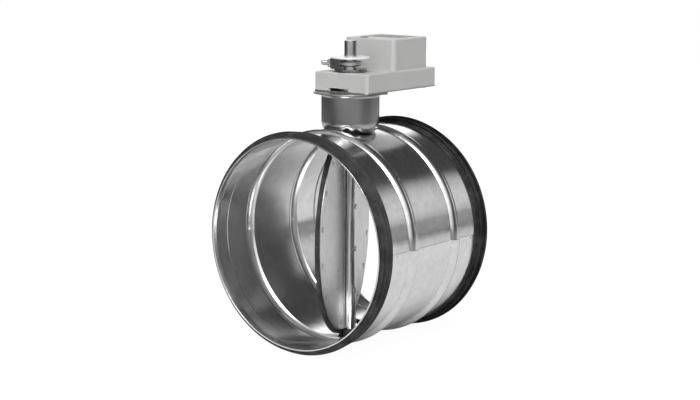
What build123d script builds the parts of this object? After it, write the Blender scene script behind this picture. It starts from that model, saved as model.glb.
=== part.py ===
from build123d import *
import math
import os

os.makedirs("parts", exist_ok=True)

# A round shut-off damper for a ventilation duct, in millimetres.
# The origin is where the duct's axis (Y) crosses the spindle's axis (Z).
# The near end of the duct is at -Y, and the actuator stands on the duct's crown at +Z.

# Sheet-metal duct
DUCT_R = 99.5
DUCT_WALL = 0.7
DUCT_HALF = 86.5
SEAT_DROP = 0.8
SEAT_LENGTH = 19.0
SEAT_STEP = 1.6
RIM_RISE = 1.1
RIM_THICK = 0.8
BEAD_Y = 33.5
BEAD_WIDTH = 13.0
BEAD_HEIGHT = 3.3
BEAD_CHORDS = 4
SEAM_WIDTH = 5.0
SEAM_RISE = 0.4
SEAM_DROP = 5.2
SEAM_END_GAP = 2.0

# Rubber lip seals at both ends
FOOT_THICK = 1.7
FOOT_TAIL = 0.9
LIP_RISE = 6.3
LIP_START = 2.4
LIP_ROOT = 3.2
LIP_LEAN = 4.4
LIP_TIP = 1.0
LIP_PITCH = 7.6
LIP_DROP = 1.0
SEAL_END_GAP = 0.3

# Spindle and its bushes
SPINDLE_R = 6.0
SPINDLE_FREE_END = 15.6
SPINDLE_FOOT_IN = 2.6
SPINDLE_CHAMFER = 0.8
RUNNING_FIT = 0.05
BUSH_R = 7.5
BUSH_FLANGE_R = 8.4
BUSH_FLANGE_DEPTH = 3.4
BUSH_SEAT_GAP = 0.1
BUSH_RISE = 2.3
BUSH_BLIND_RISE = 4.1
RETAINER_R = 11.0
RETAINER_THICK = 1.2
V_RING_R = 9.4
V_RING_HEIGHT = 3.2
V_RING_GAP = 0.3
CLIP_R = 9.0
CLIP_THICK = 1.0
CLIP_GROOVE = 0.8

# Blade: two steel discs with a rubber ring between them, behind the spindle
BLADE_TURN = 23.4
BLADE_OFFSET = 6.4
RING_THICK = 3.2
DISC_THICK = 0.9
DISC_EDGE = 3.6
WALL_GAP = 0.35
RING_WIDTH = 22.0
TROUGH_FIT = 0.05
BUSH_NOTCH_GAP = 0.6
RIVET_COUNT = 16
RIVET_INSET = 7.5
RIVET_R = 1.6
RIVET_HEAD_R = 2.8
RIVET_HEAD = 0.8
SCREW_COUNT = 4
SCREW_LOWEST = -57.0
SCREW_STEP = 41.0
SCREW_R = 2.0
SCREW_HEAD_R = 3.8
SCREW_HEAD = 2.2
SCREW_FLAT = 1.2
SCREW_TAIL = 1.0
NUT_FLATS = 7.0
NUT_HEIGHT = 3.2

# Cup on the crown of the duct
PAD_THICK = 1.0
PAD_R = 19.5
COLLAR_R = 27.7
COLLAR_WALL = 1.2
COLLAR_CORNER_R = 7.5
COLLAR_CHORDS = 3
COLLAR_HEIGHT = 35.1
FLANGE_R = 35.6
FLANGE_BEND_R = 2.7
COLLAR_RIVET_Y = 15.5
COLLAR_RIVET_R = 2.0
COLLAR_RIVET_HEAD_R = 3.6
COLLAR_RIVET_HEAD = 1.4
COLLAR_RIVET_INNER_HEAD = 0.8

# Actuator housing
PLATE_THICK = 1.2
PLATE_MARGIN = 0.7
BODY_HALF_WIDTH = 32.0
BODY_FRONT = -15.5
BODY_BACK = 96.0
BODY_HEIGHT = 17.5
BODY_WALL = 2.0
BODY_CORNER_R = 4.0
EDGE_BEVEL = 0.8
BOX_RIGHT = 27.3
BOX_FRONT = 32.2
BOX_BACK = 88.4
BOX_HEIGHT = 30.0
BOX_CORNER_R = 3.5
STRAP_SLOT_X = -2.0
STRAP_SLOT_WIDTH = 23.0
STRAP_SLOT_HEIGHT = 2.6
LABEL_X = -2.0
LABEL_Y = 66.0
LABEL_WIDTH = 44.0
LABEL_LENGTH = 32.0
LABEL_DEPTH = 0.5

# Output hub with its gear sector and crown
HUB_R = 11.0
HUB_BORE_GAP = 0.2
HUB_FOOT_R = 9.0
HUB_FIT = 0.08
HUB_SHOULDER_GAP = 0.4
CROWN_R = 15.4
CROWN_THICK = 2.6
CROWN_GAP = 0.5
CROWN_TEETH = 30
CROWN_TOOTH = 0.9
SECTOR_SPAN = 104.0
SECTOR_TURN_MIDDLE = 21.6
TRAIN_ANGLE = 90.0

# Gear train: module, teeth and face widths
OUTPUT_MODULE = 1.0
OUTPUT_TEETH = 52
FIRST_PINION_TEETH = 12
FIRST_MODULE = 1.0
FIRST_WHEEL_TEETH = 32
SECOND_PINION_TEETH = 10
SECOND_MODULE = 0.9
SECOND_WHEEL_TEETH = 30
MOTOR_PINION_TEETH = 10
MESH_PLAY = 0.20
ROOT_DEPTH = 1.25
TIP_HEIGHT = 0.85
ROOT_SHARE = 0.36
TIP_SHARE = 0.12
SECTOR_FACE = 5.0
GEAR_FACE = 3.0
GEAR_STEP = 1.0
SECTOR_RISE = 3.2
AXLE_R = 1.5

# Gear plate, posts and motor
GEAR_PLATE_RISE = 3.7
GEAR_PLATE_THICK = 1.5
GEAR_PLATE_GAP = 3.0
POST_R = 2.5
POST_INSET = 5.0
MOTOR_R = 13.0
MOTOR_HEIGHT = 20.0
MOTOR_BOSS_R = 4.0
MOTOR_BOSS = 1.0
MOTOR_SHAFT_R = 1.0
MOTOR_SCREW_R = 1.0
MOTOR_SCREW_HEAD_R = 1.9
MOTOR_SCREW_HEAD = 1.2
MOTOR_SCREW_PITCH = 9.5

# Circuit board
BOARD_THICK = 1.6
BOARD_LENGTH = 44.0
BOARD_HEIGHT = 21.0
BOARD_WALL_GAP = 0.4
RELAY = (6.0, 12.0, 9.0)
CAPACITOR_R = 3.5
CAPACITOR_LENGTH = 8.0
TERMINAL = (7.0, 12.0, 8.0)

# Release button and its spring
BUTTON_X = -13.9
BUTTON_Y = 39.9
BUTTON_R = 4.3
BUTTON_GAP = 0.3
BUTTON_RISE = 0.3
BUTTON_THICK = 5.0
BUTTON_COLLAR_R = 5.2
BUTTON_COLLAR = 1.2
STEM_R = 1.5
STEM_GAP = 4.0
BUTTON_COLLAR_GAP = 0.2
LEAF_THICK = 0.4
LEAF_WIDTH = 5.0
LEAF_LENGTH = 14.0
LEAF_GAP = 0.1

# Screws from below and the cable gland
FLANGE_SCREW_PCD = 66.0
FLANGE_SCREW_ANGLES = (40.0, 140.0)
LOWER_SCREW_R = 1.5
LOWER_SCREW_HEAD_R = 2.5
LOWER_SCREW_HEAD = 1.8
LOWER_SCREW_LENGTH = 8.0
SCREW_BOSS_R = 3.2
PLATE_SCREW_X = 22.0
PLATE_SCREW_Y = 88.5
GLAND_X = -12.0
GLAND_RISE = 8.7
GLAND_R = 5.0
GLAND_CAP_R = 6.2
GLAND_CAP_LENGTH = 7.0
GLAND_NECK = 3.0
GLAND_BORE_R = 2.6
GLAND_NUT = 2.5

# U-bolt clamp, at the heights above the crown
CLAMP_ANGLE = 180.0
BOLT_R = 2.5
BOLT_FIT = 0.1
BOLT_REACH = 27.5
JAW_FACE = 3.0
JAW_DEPTH = 11.0
JAW_HALF_WIDTH = 13.5
JAW_HEIGHT = 10.0
JAW_TEETH = 4
JAW_TOOTH = 0.7
WASHER_R = 4.6
WASHER_THICK = 0.9
CLAMP_NUT_FLATS = 8.0
CLAMP_NUT_HEIGHT = 4.0
CLAMP_DISC_R = 18.7
CLAMP_DISC_THICK = 1.2
CLAMP_DISC_HOLE_GAP = 0.3


# Values that follow from the ones above
BOX_LEFT = -BODY_HALF_WIDTH
HALF_RING = RING_THICK / 2
RING_BACK = BLADE_OFFSET + HALF_RING
RING_FRONT = BLADE_OFFSET - HALF_RING
DISC_FRONT = RING_FRONT - DISC_THICK
DISC_BACK = RING_BACK + DISC_THICK
SEAT_R = DUCT_R - SEAT_DROP
RIM_R = SEAT_R + RIM_RISE
LIP_R = SEAT_R + LIP_RISE
DUCT_INNER_R = DUCT_R - DUCT_WALL
SEAT_INNER_R = SEAT_R - DUCT_WALL
BLADE_R = math.sqrt((DUCT_INNER_R - WALL_GAP) ** 2 - RING_BACK**2)
DISC_R = BLADE_R - DISC_EDGE
CUP_BOTTOM = DUCT_R + PAD_THICK
CUP_FLOOR = CUP_BOTTOM + COLLAR_WALL
BUSH_FLANGE_IN = DUCT_INNER_R - BUSH_FLANGE_DEPTH
BUSH_TOP = CUP_FLOOR + BUSH_RISE
BUSH_BLIND_END = DUCT_R + BUSH_BLIND_RISE
SPINDLE_FOOT = BUSH_BLIND_END - SPINDLE_FOOT_IN
COLLAR_TOP = CUP_BOTTOM + COLLAR_HEIGHT
PLATE_TOP = COLLAR_TOP + PLATE_THICK
BODY_TOP = PLATE_TOP + BODY_HEIGHT
BOX_TOP = BODY_TOP + BOX_HEIGHT
SECTOR_Z = PLATE_TOP + SECTOR_RISE
GEAR_PLATE_Z = BODY_TOP + GEAR_PLATE_RISE
GLAND_Z = PLATE_TOP + GLAND_RISE
OUTPUT_PITCH_R = OUTPUT_MODULE * OUTPUT_TEETH / 2
FIRST_AXLE_Y = OUTPUT_PITCH_R + OUTPUT_MODULE * FIRST_PINION_TEETH / 2
SECOND_AXLE_Y = FIRST_AXLE_Y + FIRST_MODULE * (FIRST_WHEEL_TEETH + SECOND_PINION_TEETH) / 2
MOTOR_Y = SECOND_AXLE_Y + SECOND_MODULE * (SECOND_WHEEL_TEETH + MOTOR_PINION_TEETH) / 2
FIRST_WHEEL_Z = SECTOR_Z + SECTOR_FACE + GEAR_STEP
SECOND_WHEEL_Z = FIRST_WHEEL_Z + GEAR_FACE + GEAR_STEP
CROWN_Z = BODY_TOP + CROWN_GAP
CLAMP_Z = CROWN_Z + CROWN_THICK
BOLT_BEND_R = SPINDLE_R + BOLT_FIT + BOLT_R
JAW_MIDDLE = CLAMP_Z + JAW_HEIGHT / 2
CLAMP_TOP = CLAMP_Z + JAW_HEIGHT
SPINDLE_TOP = CLAMP_TOP + CLAMP_DISC_THICK + SPINDLE_FREE_END
GEAR_PLATE_TOP = GEAR_PLATE_Z + GEAR_PLATE_THICK
BUTTON_TOP = BOX_TOP + BUTTON_RISE
BUTTON_SEAT = BOX_TOP - BODY_WALL
BLADE_PLACE = Rot(0, 0, BLADE_TURN)
CLAMP_PLACE = Rot(0, 0, CLAMP_ANGLE)


def rod(radius, low, high, x=0.0, y=0.0):
    """A round bar along Z from one height to another."""
    bar = Cylinder(radius, high - low, align=(Align.CENTER, Align.CENTER, Align.MIN))
    return Pos(x, y, low) * bar


def peg(radius, low, high, x=0.0, y=0.0, sides=8):
    """A bar along Z with a few sides, for small fasteners and the holes that they fill."""
    bar = extrude(RegularPolygon(radius, sides), amount=high - low)
    return Pos(x, y, low) * bar


def rivet_peg(radius, low, high):
    """A six-sided bar along Z, for the rivets round the blade's rim and their holes."""
    return peg(radius, low, high, sides=6)


def tube(outer, inner, low, high, x=0.0, y=0.0):
    """A ring along Z."""
    return rod(outer, low, high, x, y) - rod(inner, low - 1, high + 1, x, y)


def bar_along_y(radius, low, high, x=0.0, z=0.0):
    """A round bar along Y from one place to another."""
    return Pos(x, 0, z) * Rot(-90, 0, 0) * rod(radius, low, high)


def block(x_span, y_span, z_span):
    """A box given by its low and high limits along each axis."""
    spans = (x_span, y_span, z_span)
    sizes = [high - low for low, high in spans]
    centre = [(high + low) / 2 for low, high in spans]
    return Pos(*centre) * Box(*sizes)


def outline(start, *steps):
    """A closed face from lines, and from arcs given as a middle and an end point."""
    edges = []
    here = start
    for step in steps:
        if isinstance(step[0], tuple):
            edges.append(ThreePointArc(here, step[0], step[1]))
            here = step[1]
        else:
            edges.append(Line(here, step))
            here = step
    if here != start:
        edges.append(Line(here, start))
    return make_face(edges)


def prism(face, low, high):
    """A flat outline in XY drawn up from one height to another."""
    return extrude(Pos(0, 0, low) * face, amount=high - low)


def hexagon(flats, height):
    """A hexagonal prism along Z that stands on the XY plane."""
    return extrude(RegularPolygon(flats / 2, 6, major_radius=False), amount=height)


def group(solids):
    """Several separate solids in one node."""
    return Compound(children=list(solids))


# Duct


def bead_points(base_r, centre_y, rise):
    """A bead's round outline as a few chords, from its near edge to its far edge."""
    half = BEAD_WIDTH / 2
    bead_r = (half**2 + BEAD_HEIGHT**2) / (2 * BEAD_HEIGHT)
    centre_r = base_r + BEAD_HEIGHT - bead_r
    spread = math.asin(half / bead_r)
    points = []
    for index in range(BEAD_CHORDS + 1):
        angle = spread * (2 * index / BEAD_CHORDS - 1)
        reach = bead_r + rise
        points.append((centre_r + reach * math.cos(angle), centre_y + reach * math.sin(angle)))
    points[0] = (base_r + rise, points[0][1])
    points[-1] = (base_r + rise, points[-1][1])
    return points


def duct_side(rise):
    """The duct's outside between its seats, drawn out or in by a rise."""
    shoulder = DUCT_HALF - SEAT_LENGTH
    slope = shoulder - SEAT_STEP
    return [
        (SEAT_R + rise, -shoulder),
        (DUCT_R + rise, -slope),
        *bead_points(DUCT_R, -BEAD_Y, rise),
        *bead_points(DUCT_R, BEAD_Y, rise),
        (DUCT_R + rise, slope),
        (SEAT_R + rise, shoulder),
    ]


def duct_envelope(rise):
    """The duct's outside between its seats as one closed solid."""
    steps = duct_side(rise)
    low = steps[0]
    high = steps[-1]
    return revolve(outline((0, low[1]), *steps, (0, high[1])), Axis.Y)


def duct_seam(side):
    """A lap of sheet along the duct, a little proud of the wall, at +X or -X."""
    reach = DUCT_HALF - SEAT_LENGTH - SEAT_STEP - SEAM_END_GAP
    outer = DUCT_R + BEAD_HEIGHT + SEAM_RISE + 1
    spans = sorted((side * DUCT_R / 2, side * outer))
    strip = block(spans, (-reach, reach), (-SEAM_DROP, SEAM_WIDTH - SEAM_DROP))
    return (duct_envelope(SEAM_RISE) - duct_envelope(0)) & strip


def duct_shell():
    """Rolled tube with two beads, stepped seats and turned-out rims."""
    outer = duct_side(0)
    inner = duct_side(-DUCT_WALL)
    face = outline(
        (SEAT_INNER_R, -DUCT_HALF),
        (RIM_R, -DUCT_HALF),
        (RIM_R, -DUCT_HALF + RIM_THICK),
        (SEAT_R, -DUCT_HALF + RIM_THICK),
        *outer,
        (SEAT_R, DUCT_HALF - RIM_THICK),
        (RIM_R, DUCT_HALF - RIM_THICK),
        (RIM_R, DUCT_HALF),
        (SEAT_INNER_R, DUCT_HALF),
        *reversed(inner),
    )
    shell = revolve(face, Axis.Y)
    for side in (1, -1):
        shell += duct_seam(side)
    shell -= rod(BUSH_R + BUSH_SEAT_GAP, 0, 2 * DUCT_R)
    shell -= rod(BUSH_R + BUSH_SEAT_GAP, -2 * DUCT_R, 0)
    for x, y in collar_rivet_places():
        shell -= peg(COLLAR_RIVET_R, 0, 2 * DUCT_R, x, y)
    return shell


def lip_seal(end):
    """Rubber ring with two lips that lean away from the end of the duct."""
    def place(radius, depth):
        return (radius, end * (DUCT_HALF - depth))

    foot_r = SEAT_R + FOOT_THICK
    first = RIM_THICK + SEAL_END_GAP
    points = [place(SEAT_R, first), place(foot_r, first)]
    for index in range(2):
        start = LIP_START + index * LIP_PITCH
        tip_r = LIP_R - index * LIP_DROP
        points.append(place(foot_r, start))
        points.append(place(tip_r, start + LIP_LEAN))
        points.append(place(tip_r, start + LIP_LEAN + LIP_TIP))
        points.append(place(foot_r, start + LIP_ROOT))
    points.append(place(SEAT_R + FOOT_TAIL, SEAT_LENGTH))
    points.append(place(SEAT_R, SEAT_LENGTH))
    return revolve(outline(*points), Axis.Y)


# Spindle and bushes


def spindle():
    """Round bar through duct and actuator, flatted where the blade's screws sit."""
    bar = rod(SPINDLE_R, -SPINDLE_FOOT, SPINDLE_TOP)
    bar = chamfer(bar.edges().filter_by(GeomType.CIRCLE), SPINDLE_CHAMFER)
    groove_low = clip_height()
    bar -= tube(SPINDLE_R + 1, SPINDLE_R - CLIP_GROOVE, groove_low, groove_low + CLIP_THICK)
    for height in screw_heights():
        bar -= blade_frame(peg(SCREW_R, -2 * SPINDLE_R, 2 * SPINDLE_R), height)
        bar -= blade_frame(peg(SCREW_HEAD_R, SPINDLE_R - SCREW_FLAT, 2 * SPINDLE_R), height)
    return bar


def blade_frame(solid, height=0.0):
    """Puts a solid that is drawn along Z with the spindle face at +Z in the blade's place."""
    return BLADE_PLACE * Pos(0, 0, height) * Rot(0, 90, 0) * solid


def clip_height():
    """Underside of the ring that holds the spindle at its height."""
    return BUSH_TOP + V_RING_GAP + V_RING_HEIGHT


def upper_bearing():
    """Bush in the duct's crown with its flange inside the duct."""
    body = rod(BUSH_R, BUSH_FLANGE_IN, BUSH_TOP) + bush_flange()
    return body - rod(SPINDLE_R + RUNNING_FIT, 0, 2 * BUSH_TOP)


def bush_flange():
    """Round flange whose face follows the inside of the duct."""
    flange = rod(BUSH_FLANGE_R, BUSH_FLANGE_IN, DUCT_R)
    return flange & bar_along_y(DUCT_INNER_R, -DUCT_HALF, DUCT_HALF)


def lower_bearing():
    """Blind bush that holds the spindle's foot."""
    body = rod(BUSH_R, BUSH_FLANGE_IN, BUSH_BLIND_END) + bush_flange()
    body -= rod(SPINDLE_R + RUNNING_FIT, 0, SPINDLE_FOOT + RUNNING_FIT)
    return Rot(180, 0, 0) * body


def bearing_retainers():
    """Push-on rings that hold the two bushes from outside the duct wall."""
    upper = tube(RETAINER_R, BUSH_R, CUP_FLOOR, CUP_FLOOR + RETAINER_THICK)
    lower = tube(RETAINER_R, BUSH_R, -DUCT_R - RETAINER_THICK, -DUCT_R)
    return group([upper, lower])


def spindle_seal():
    """V-ring that turns with the spindle, its lip just over the bush."""
    low = BUSH_TOP + V_RING_GAP
    high = low + V_RING_HEIGHT
    waist_r = (SPINDLE_R + V_RING_R) / 2
    face = outline(
        (SPINDLE_R, low + V_RING_HEIGHT / 4),
        (waist_r, low + V_RING_HEIGHT / 3),
        (V_RING_R, low),
        (V_RING_R, low + V_RING_HEIGHT / 6),
        (waist_r + V_RING_HEIGHT / 5, low + V_RING_HEIGHT / 2),
        (waist_r + V_RING_HEIGHT / 5, high),
        (SPINDLE_R, high),
    )
    return revolve(Plane.XZ * face, Axis.Z)


def spindle_clip():
    """Open ring in the spindle's groove."""
    low = clip_height()
    ring = tube(CLIP_R, SPINDLE_R - CLIP_GROOVE, low, low + CLIP_THICK)
    half_mouth = SPINDLE_R / 2
    return ring - block((0, CLIP_R + 1), (-half_mouth, half_mouth), (low - 1, low + CLIP_THICK + 1))


# Blade


def bush_notches(solid):
    """Cuts a blade piece clear of the two bush flanges."""
    notch = rod(BUSH_FLANGE_R + BUSH_NOTCH_GAP, BUSH_FLANGE_IN - BUSH_NOTCH_GAP, 2 * DUCT_R)
    for turn in (0, 180):
        solid -= Rot(turn, 0, 0) * notch
    return solid


def screw_heights():
    """Heights of the screws along the spindle."""
    return [SCREW_LOWEST + index * SCREW_STEP for index in range(SCREW_COUNT)]


def rivet_angles():
    """Angles of the rim rivets, half a step off the spindle."""
    step = 360 / RIVET_COUNT
    return [step * (index + 0.5) for index in range(RIVET_COUNT)]


def at_rim(solid, angle):
    """Moves a solid that is drawn on the blade's centre line out to the rivet circle."""
    return Rot(0, 0, angle) * Pos(DISC_R - RIVET_INSET, 0, 0) * solid


def blade_holes(solid):
    """Cuts the rivet and screw holes through a blade piece drawn along Z."""
    reach = DISC_BACK + SPINDLE_R
    for angle in rivet_angles():
        solid -= at_rim(rivet_peg(RIVET_R, -reach, reach), angle)
    for height in screw_heights():
        solid -= peg(SCREW_R, -reach, reach, x=height)
    return solid


def blade_piece(solid):
    """Puts a piece drawn flat, with the spindle's line along X, in its place."""
    standing = Rot(0, 90, 0) * Rot(0, 0, 180) * solid
    return bush_notches(BLADE_PLACE * standing)


def trough_profile():
    """Section across the front disc: flat sheet with a round trough for the spindle."""
    inner_r = SPINDLE_R + TROUGH_FIT
    outer_r = inner_r + DISC_THICK
    inner_half = math.sqrt(inner_r**2 - DISC_FRONT**2)
    outer_half = math.sqrt(outer_r**2 - RING_FRONT**2)
    reach = DISC_R + 1
    return outline(
        (-reach, -RING_FRONT),
        (-outer_half, -RING_FRONT),
        ((0, -outer_r), (outer_half, -RING_FRONT)),
        (reach, -RING_FRONT),
        (reach, -DISC_FRONT),
        (inner_half, -DISC_FRONT),
        ((0, -inner_r), (-inner_half, -DISC_FRONT)),
        (-reach, -DISC_FRONT),
    )


def blade_front():
    """Pressed disc on the spindle's side."""
    section = Plane.YZ * trough_profile()
    sheet = extrude(Pos(-DISC_R - 1, 0, 0) * section, amount=2 * DISC_R + 2)
    disc = sheet & rod(DISC_R, -2 * DISC_BACK, 0)
    return blade_piece(blade_holes(disc))


def blade_rear():
    """Flat disc on the far side of the rubber ring."""
    disc = rod(DISC_R, -DISC_BACK, -RING_BACK)
    return blade_piece(blade_holes(disc))


def blade_gasket():
    """Rubber ring between the discs, cut out where the trough crosses it."""
    ring = tube(BLADE_R, DISC_R - RING_WIDTH, -RING_BACK, -RING_FRONT)
    trough_r = SPINDLE_R + TROUGH_FIT + DISC_THICK
    trough = Rot(0, 90, 0) * rod(trough_r, -2 * BLADE_R, 2 * BLADE_R)
    return blade_piece(blade_holes(ring - trough))


def blade_rivets():
    """Rivets round the rim, through both discs and the rubber ring."""
    rivets = []
    for angle in rivet_angles():
        rivet = rivet_peg(RIVET_R, -DISC_BACK, -DISC_FRONT)
        rivet += rivet_peg(RIVET_HEAD_R, -DISC_FRONT, -DISC_FRONT + RIVET_HEAD)
        rivet += rivet_peg(RIVET_HEAD_R, -DISC_BACK - RIVET_HEAD, -DISC_BACK)
        rivets.append(blade_piece(at_rim(rivet, angle)))
    return group(rivets)


def blade_screws():
    """Pan-head screws through the spindle and both discs."""
    screws = []
    for height in screw_heights():
        seat = SPINDLE_R - SCREW_FLAT
        screw = peg(SCREW_R, -DISC_BACK - NUT_HEIGHT - SCREW_TAIL, seat)
        screw += peg(SCREW_HEAD_R, seat, seat + SCREW_HEAD)
        screws.append(blade_frame(screw, height))
    return group(screws)


def blade_nuts():
    """Hexagon nuts behind the rear disc."""
    nuts = []
    for height in screw_heights():
        nut = Pos(0, 0, -DISC_BACK - NUT_HEIGHT) * hexagon(NUT_FLATS, NUT_HEIGHT)
        nut -= peg(SCREW_R, -2 * DISC_BACK, 0)
        nuts.append(blade_frame(nut, height))
    return group(nuts)


# Cup on the duct's crown


def collar_rivet_places():
    """Rivets along the duct's crown, one on each side of the spindle."""
    return [(0.0, COLLAR_RIVET_Y), (0.0, -COLLAR_RIVET_Y)]


def collar_holes(solid):
    """Cuts the bush hole and the rivet holes."""
    solid -= rod(BUSH_R + BUSH_SEAT_GAP, 0, BUSH_TOP)
    for x, y in collar_rivet_places():
        solid -= peg(COLLAR_RIVET_R, 0, BUSH_TOP, x, y)
    return solid


def saddle_gasket():
    """Rubber pad, flat above and round below like the duct's crown."""
    pad = rod(PAD_R, 0, CUP_BOTTOM) - bar_along_y(DUCT_R, -DUCT_HALF, DUCT_HALF)
    return collar_holes(pad)


def quarter(centre, radius, start, end, chords):
    """Points of a quarter turn as a few chords, its start and end given in degrees."""
    points = []
    for index in range(chords + 1):
        turn = math.radians(start + (end - start) * index / chords)
        points.append((centre[0] + radius * math.cos(turn), centre[1] + radius * math.sin(turn)))
    return points


def actuator_collar():
    """Deep-drawn cup with a rounded bottom corner and a flange at its top."""
    corner = (COLLAR_R - COLLAR_CORNER_R, CUP_BOTTOM + COLLAR_CORNER_R)
    bend = (COLLAR_R + FLANGE_BEND_R, COLLAR_TOP - COLLAR_WALL - FLANGE_BEND_R)
    face = outline(
        (0, CUP_BOTTOM),
        *quarter(corner, COLLAR_CORNER_R, -90, 0, COLLAR_CHORDS),
        *quarter(bend, FLANGE_BEND_R, 180, 90, COLLAR_CHORDS - 1),
        (FLANGE_R, COLLAR_TOP - COLLAR_WALL),
        (FLANGE_R, COLLAR_TOP),
        *quarter(bend, FLANGE_BEND_R + COLLAR_WALL, 90, 180, COLLAR_CHORDS - 1),
        *quarter(corner, COLLAR_CORNER_R - COLLAR_WALL, 0, -90, COLLAR_CHORDS - 1),
        (0, CUP_FLOOR),
    )
    cup = collar_holes(revolve(Plane.XZ * face, Axis.Z))
    for x, y in flange_screw_places():
        cup -= peg(LOWER_SCREW_R, COLLAR_TOP - 2 * COLLAR_WALL, COLLAR_TOP + 1, x, y)
    return cup


def collar_rivets():
    """Rivets that hold cup, pad and duct together."""
    rivets = []
    for x, y in collar_rivet_places():
        inner = DUCT_INNER_R - COLLAR_RIVET_INNER_HEAD
        rivet = peg(COLLAR_RIVET_R, inner, CUP_FLOOR + COLLAR_RIVET_HEAD, x, y)
        head = peg(COLLAR_RIVET_HEAD_R, inner, DUCT_R, x, y)
        rivet += head & bar_along_y(DUCT_INNER_R, -DUCT_HALF, DUCT_HALF)
        rivet += peg(COLLAR_RIVET_HEAD_R, CUP_FLOOR, CUP_FLOOR + COLLAR_RIVET_HEAD, x, y)
        rivets.append(rivet)
    return group(rivets)


# Actuator housing


def flange_screw_places():
    """Screws through the collar's flange, on the side that the housing covers."""
    radius = FLANGE_SCREW_PCD / 2
    places = []
    for angle in FLANGE_SCREW_ANGLES:
        turn = math.radians(angle)
        places.append((radius * math.cos(turn), radius * math.sin(turn)))
    return places


def plate_screw_places():
    """Screws at the far end of the base plate."""
    return [(PLATE_SCREW_X, PLATE_SCREW_Y), (-PLATE_SCREW_X, PLATE_SCREW_Y)]


def post_places():
    """Posts at the corners of the gear plate."""
    left, right, front, back = gear_plate_limits()
    return [
        (x, y)
        for x in (left + POST_INSET, right - POST_INSET)
        for y in (front + POST_INSET, back - POST_INSET)
    ]


def gear_plate_limits():
    """Limits of the gear plate inside the raised box."""
    gap = BODY_WALL + GEAR_PLATE_GAP
    return (BOX_LEFT + gap, BOX_RIGHT - gap, BOX_FRONT + gap, BOX_BACK - gap)


def slab(left, right, front, back, low, high, corner_r):
    """A box with round upright corners."""
    middle = Pos((left + right) / 2, (front + back) / 2, low)
    return middle * extrude(RectangleRounded(right - left, back - front, corner_r), amount=high - low)


def base_plate():
    """Steel plate under the housing."""
    wide = BODY_HALF_WIDTH + PLATE_MARGIN
    front = BODY_FRONT - PLATE_MARGIN
    back = BODY_BACK + PLATE_MARGIN
    plate = slab(-wide, wide, front, back, COLLAR_TOP, PLATE_TOP, BODY_CORNER_R + PLATE_MARGIN)
    plate -= rod(HUB_FOOT_R + HUB_FIT, COLLAR_TOP - 1, PLATE_TOP + 1)
    for x, y in flange_screw_places() + plate_screw_places():
        plate -= peg(LOWER_SCREW_R, COLLAR_TOP - 1, PLATE_TOP + 1, x, y)
    return plate


def lower_screw(seat, x, y):
    """Pan-head screw from below, its head under the given height."""
    screw = peg(LOWER_SCREW_R, seat, PLATE_TOP + LOWER_SCREW_LENGTH, x, y)
    return screw + peg(LOWER_SCREW_HEAD_R, seat - LOWER_SCREW_HEAD, seat, x, y)


def housing_bosses(solid):
    """Pillars inside the housing that take the screws from below and the first axle."""
    ceiling = BODY_TOP - BODY_WALL
    for x, y in flange_screw_places() + plate_screw_places():
        solid += peg(SCREW_BOSS_R, PLATE_TOP, ceiling + BODY_WALL / 2, x, y)
        solid -= peg(LOWER_SCREW_R, PLATE_TOP - 1, PLATE_TOP + LOWER_SCREW_LENGTH, x, y)
    solid += rod(2 * AXLE_R, axle_boss_low(), ceiling + BODY_WALL / 2, 0, FIRST_AXLE_Y)
    return solid - rod(AXLE_R, 0, ceiling, 0, FIRST_AXLE_Y)


def actuator_housing():
    """Moulded housing, open below: a low base with the raised motor box on it."""
    wide = BODY_HALF_WIDTH
    base = slab(-wide, wide, BODY_FRONT, BODY_BACK, PLATE_TOP, BODY_TOP, BODY_CORNER_R)
    base = chamfer(base.faces().sort_by(Axis.Z)[-1].edges(), EDGE_BEVEL)
    box = slab(BOX_LEFT, BOX_RIGHT, BOX_FRONT, BOX_BACK, PLATE_TOP, BOX_TOP, BOX_CORNER_R)
    box = chamfer(box.faces().sort_by(Axis.Z)[-1].edges(), EDGE_BEVEL)
    inner = BODY_CORNER_R - BODY_WALL
    hollow = slab(
        -wide + BODY_WALL, wide - BODY_WALL, BODY_FRONT + BODY_WALL, BODY_BACK - BODY_WALL,
        PLATE_TOP - 1, BODY_TOP - BODY_WALL, inner,
    )
    hollow += slab(
        BOX_LEFT + BODY_WALL, BOX_RIGHT - BODY_WALL, BOX_FRONT + BODY_WALL, BOX_BACK - BODY_WALL,
        PLATE_TOP - 1, BOX_TOP - BODY_WALL, BOX_CORNER_R - BODY_WALL,
    )
    body = base + box - hollow
    body -= rod(HUB_R + HUB_FIT, BODY_TOP - 2 * BODY_WALL, BODY_TOP + 1)
    half_slot = STRAP_SLOT_WIDTH / 2
    body -= block(
        (STRAP_SLOT_X - half_slot, STRAP_SLOT_X + half_slot),
        (BODY_FRONT - 1, BODY_FRONT + BODY_WALL + 1),
        (PLATE_TOP - 1, PLATE_TOP + STRAP_SLOT_HEIGHT),
    )
    body -= block(
        (LABEL_X - LABEL_WIDTH / 2, LABEL_X + LABEL_WIDTH / 2),
        (LABEL_Y - LABEL_LENGTH / 2, LABEL_Y + LABEL_LENGTH / 2),
        (BOX_TOP - LABEL_DEPTH, BOX_TOP + 1),
    )
    body -= rod(BUTTON_R + BUTTON_GAP, BUTTON_SEAT - 1, BOX_TOP + 1, BUTTON_X, BUTTON_Y)
    body -= bar_along_y(GLAND_R, BODY_BACK - BODY_WALL - 1, BODY_BACK + 1, GLAND_X, GLAND_Z)
    return housing_bosses(body)


def axle_boss_low():
    """Underside of the boss that holds the first axle from above."""
    return FIRST_WHEEL_Z + GEAR_FACE + GEAR_STEP / 2


# Gears


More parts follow.
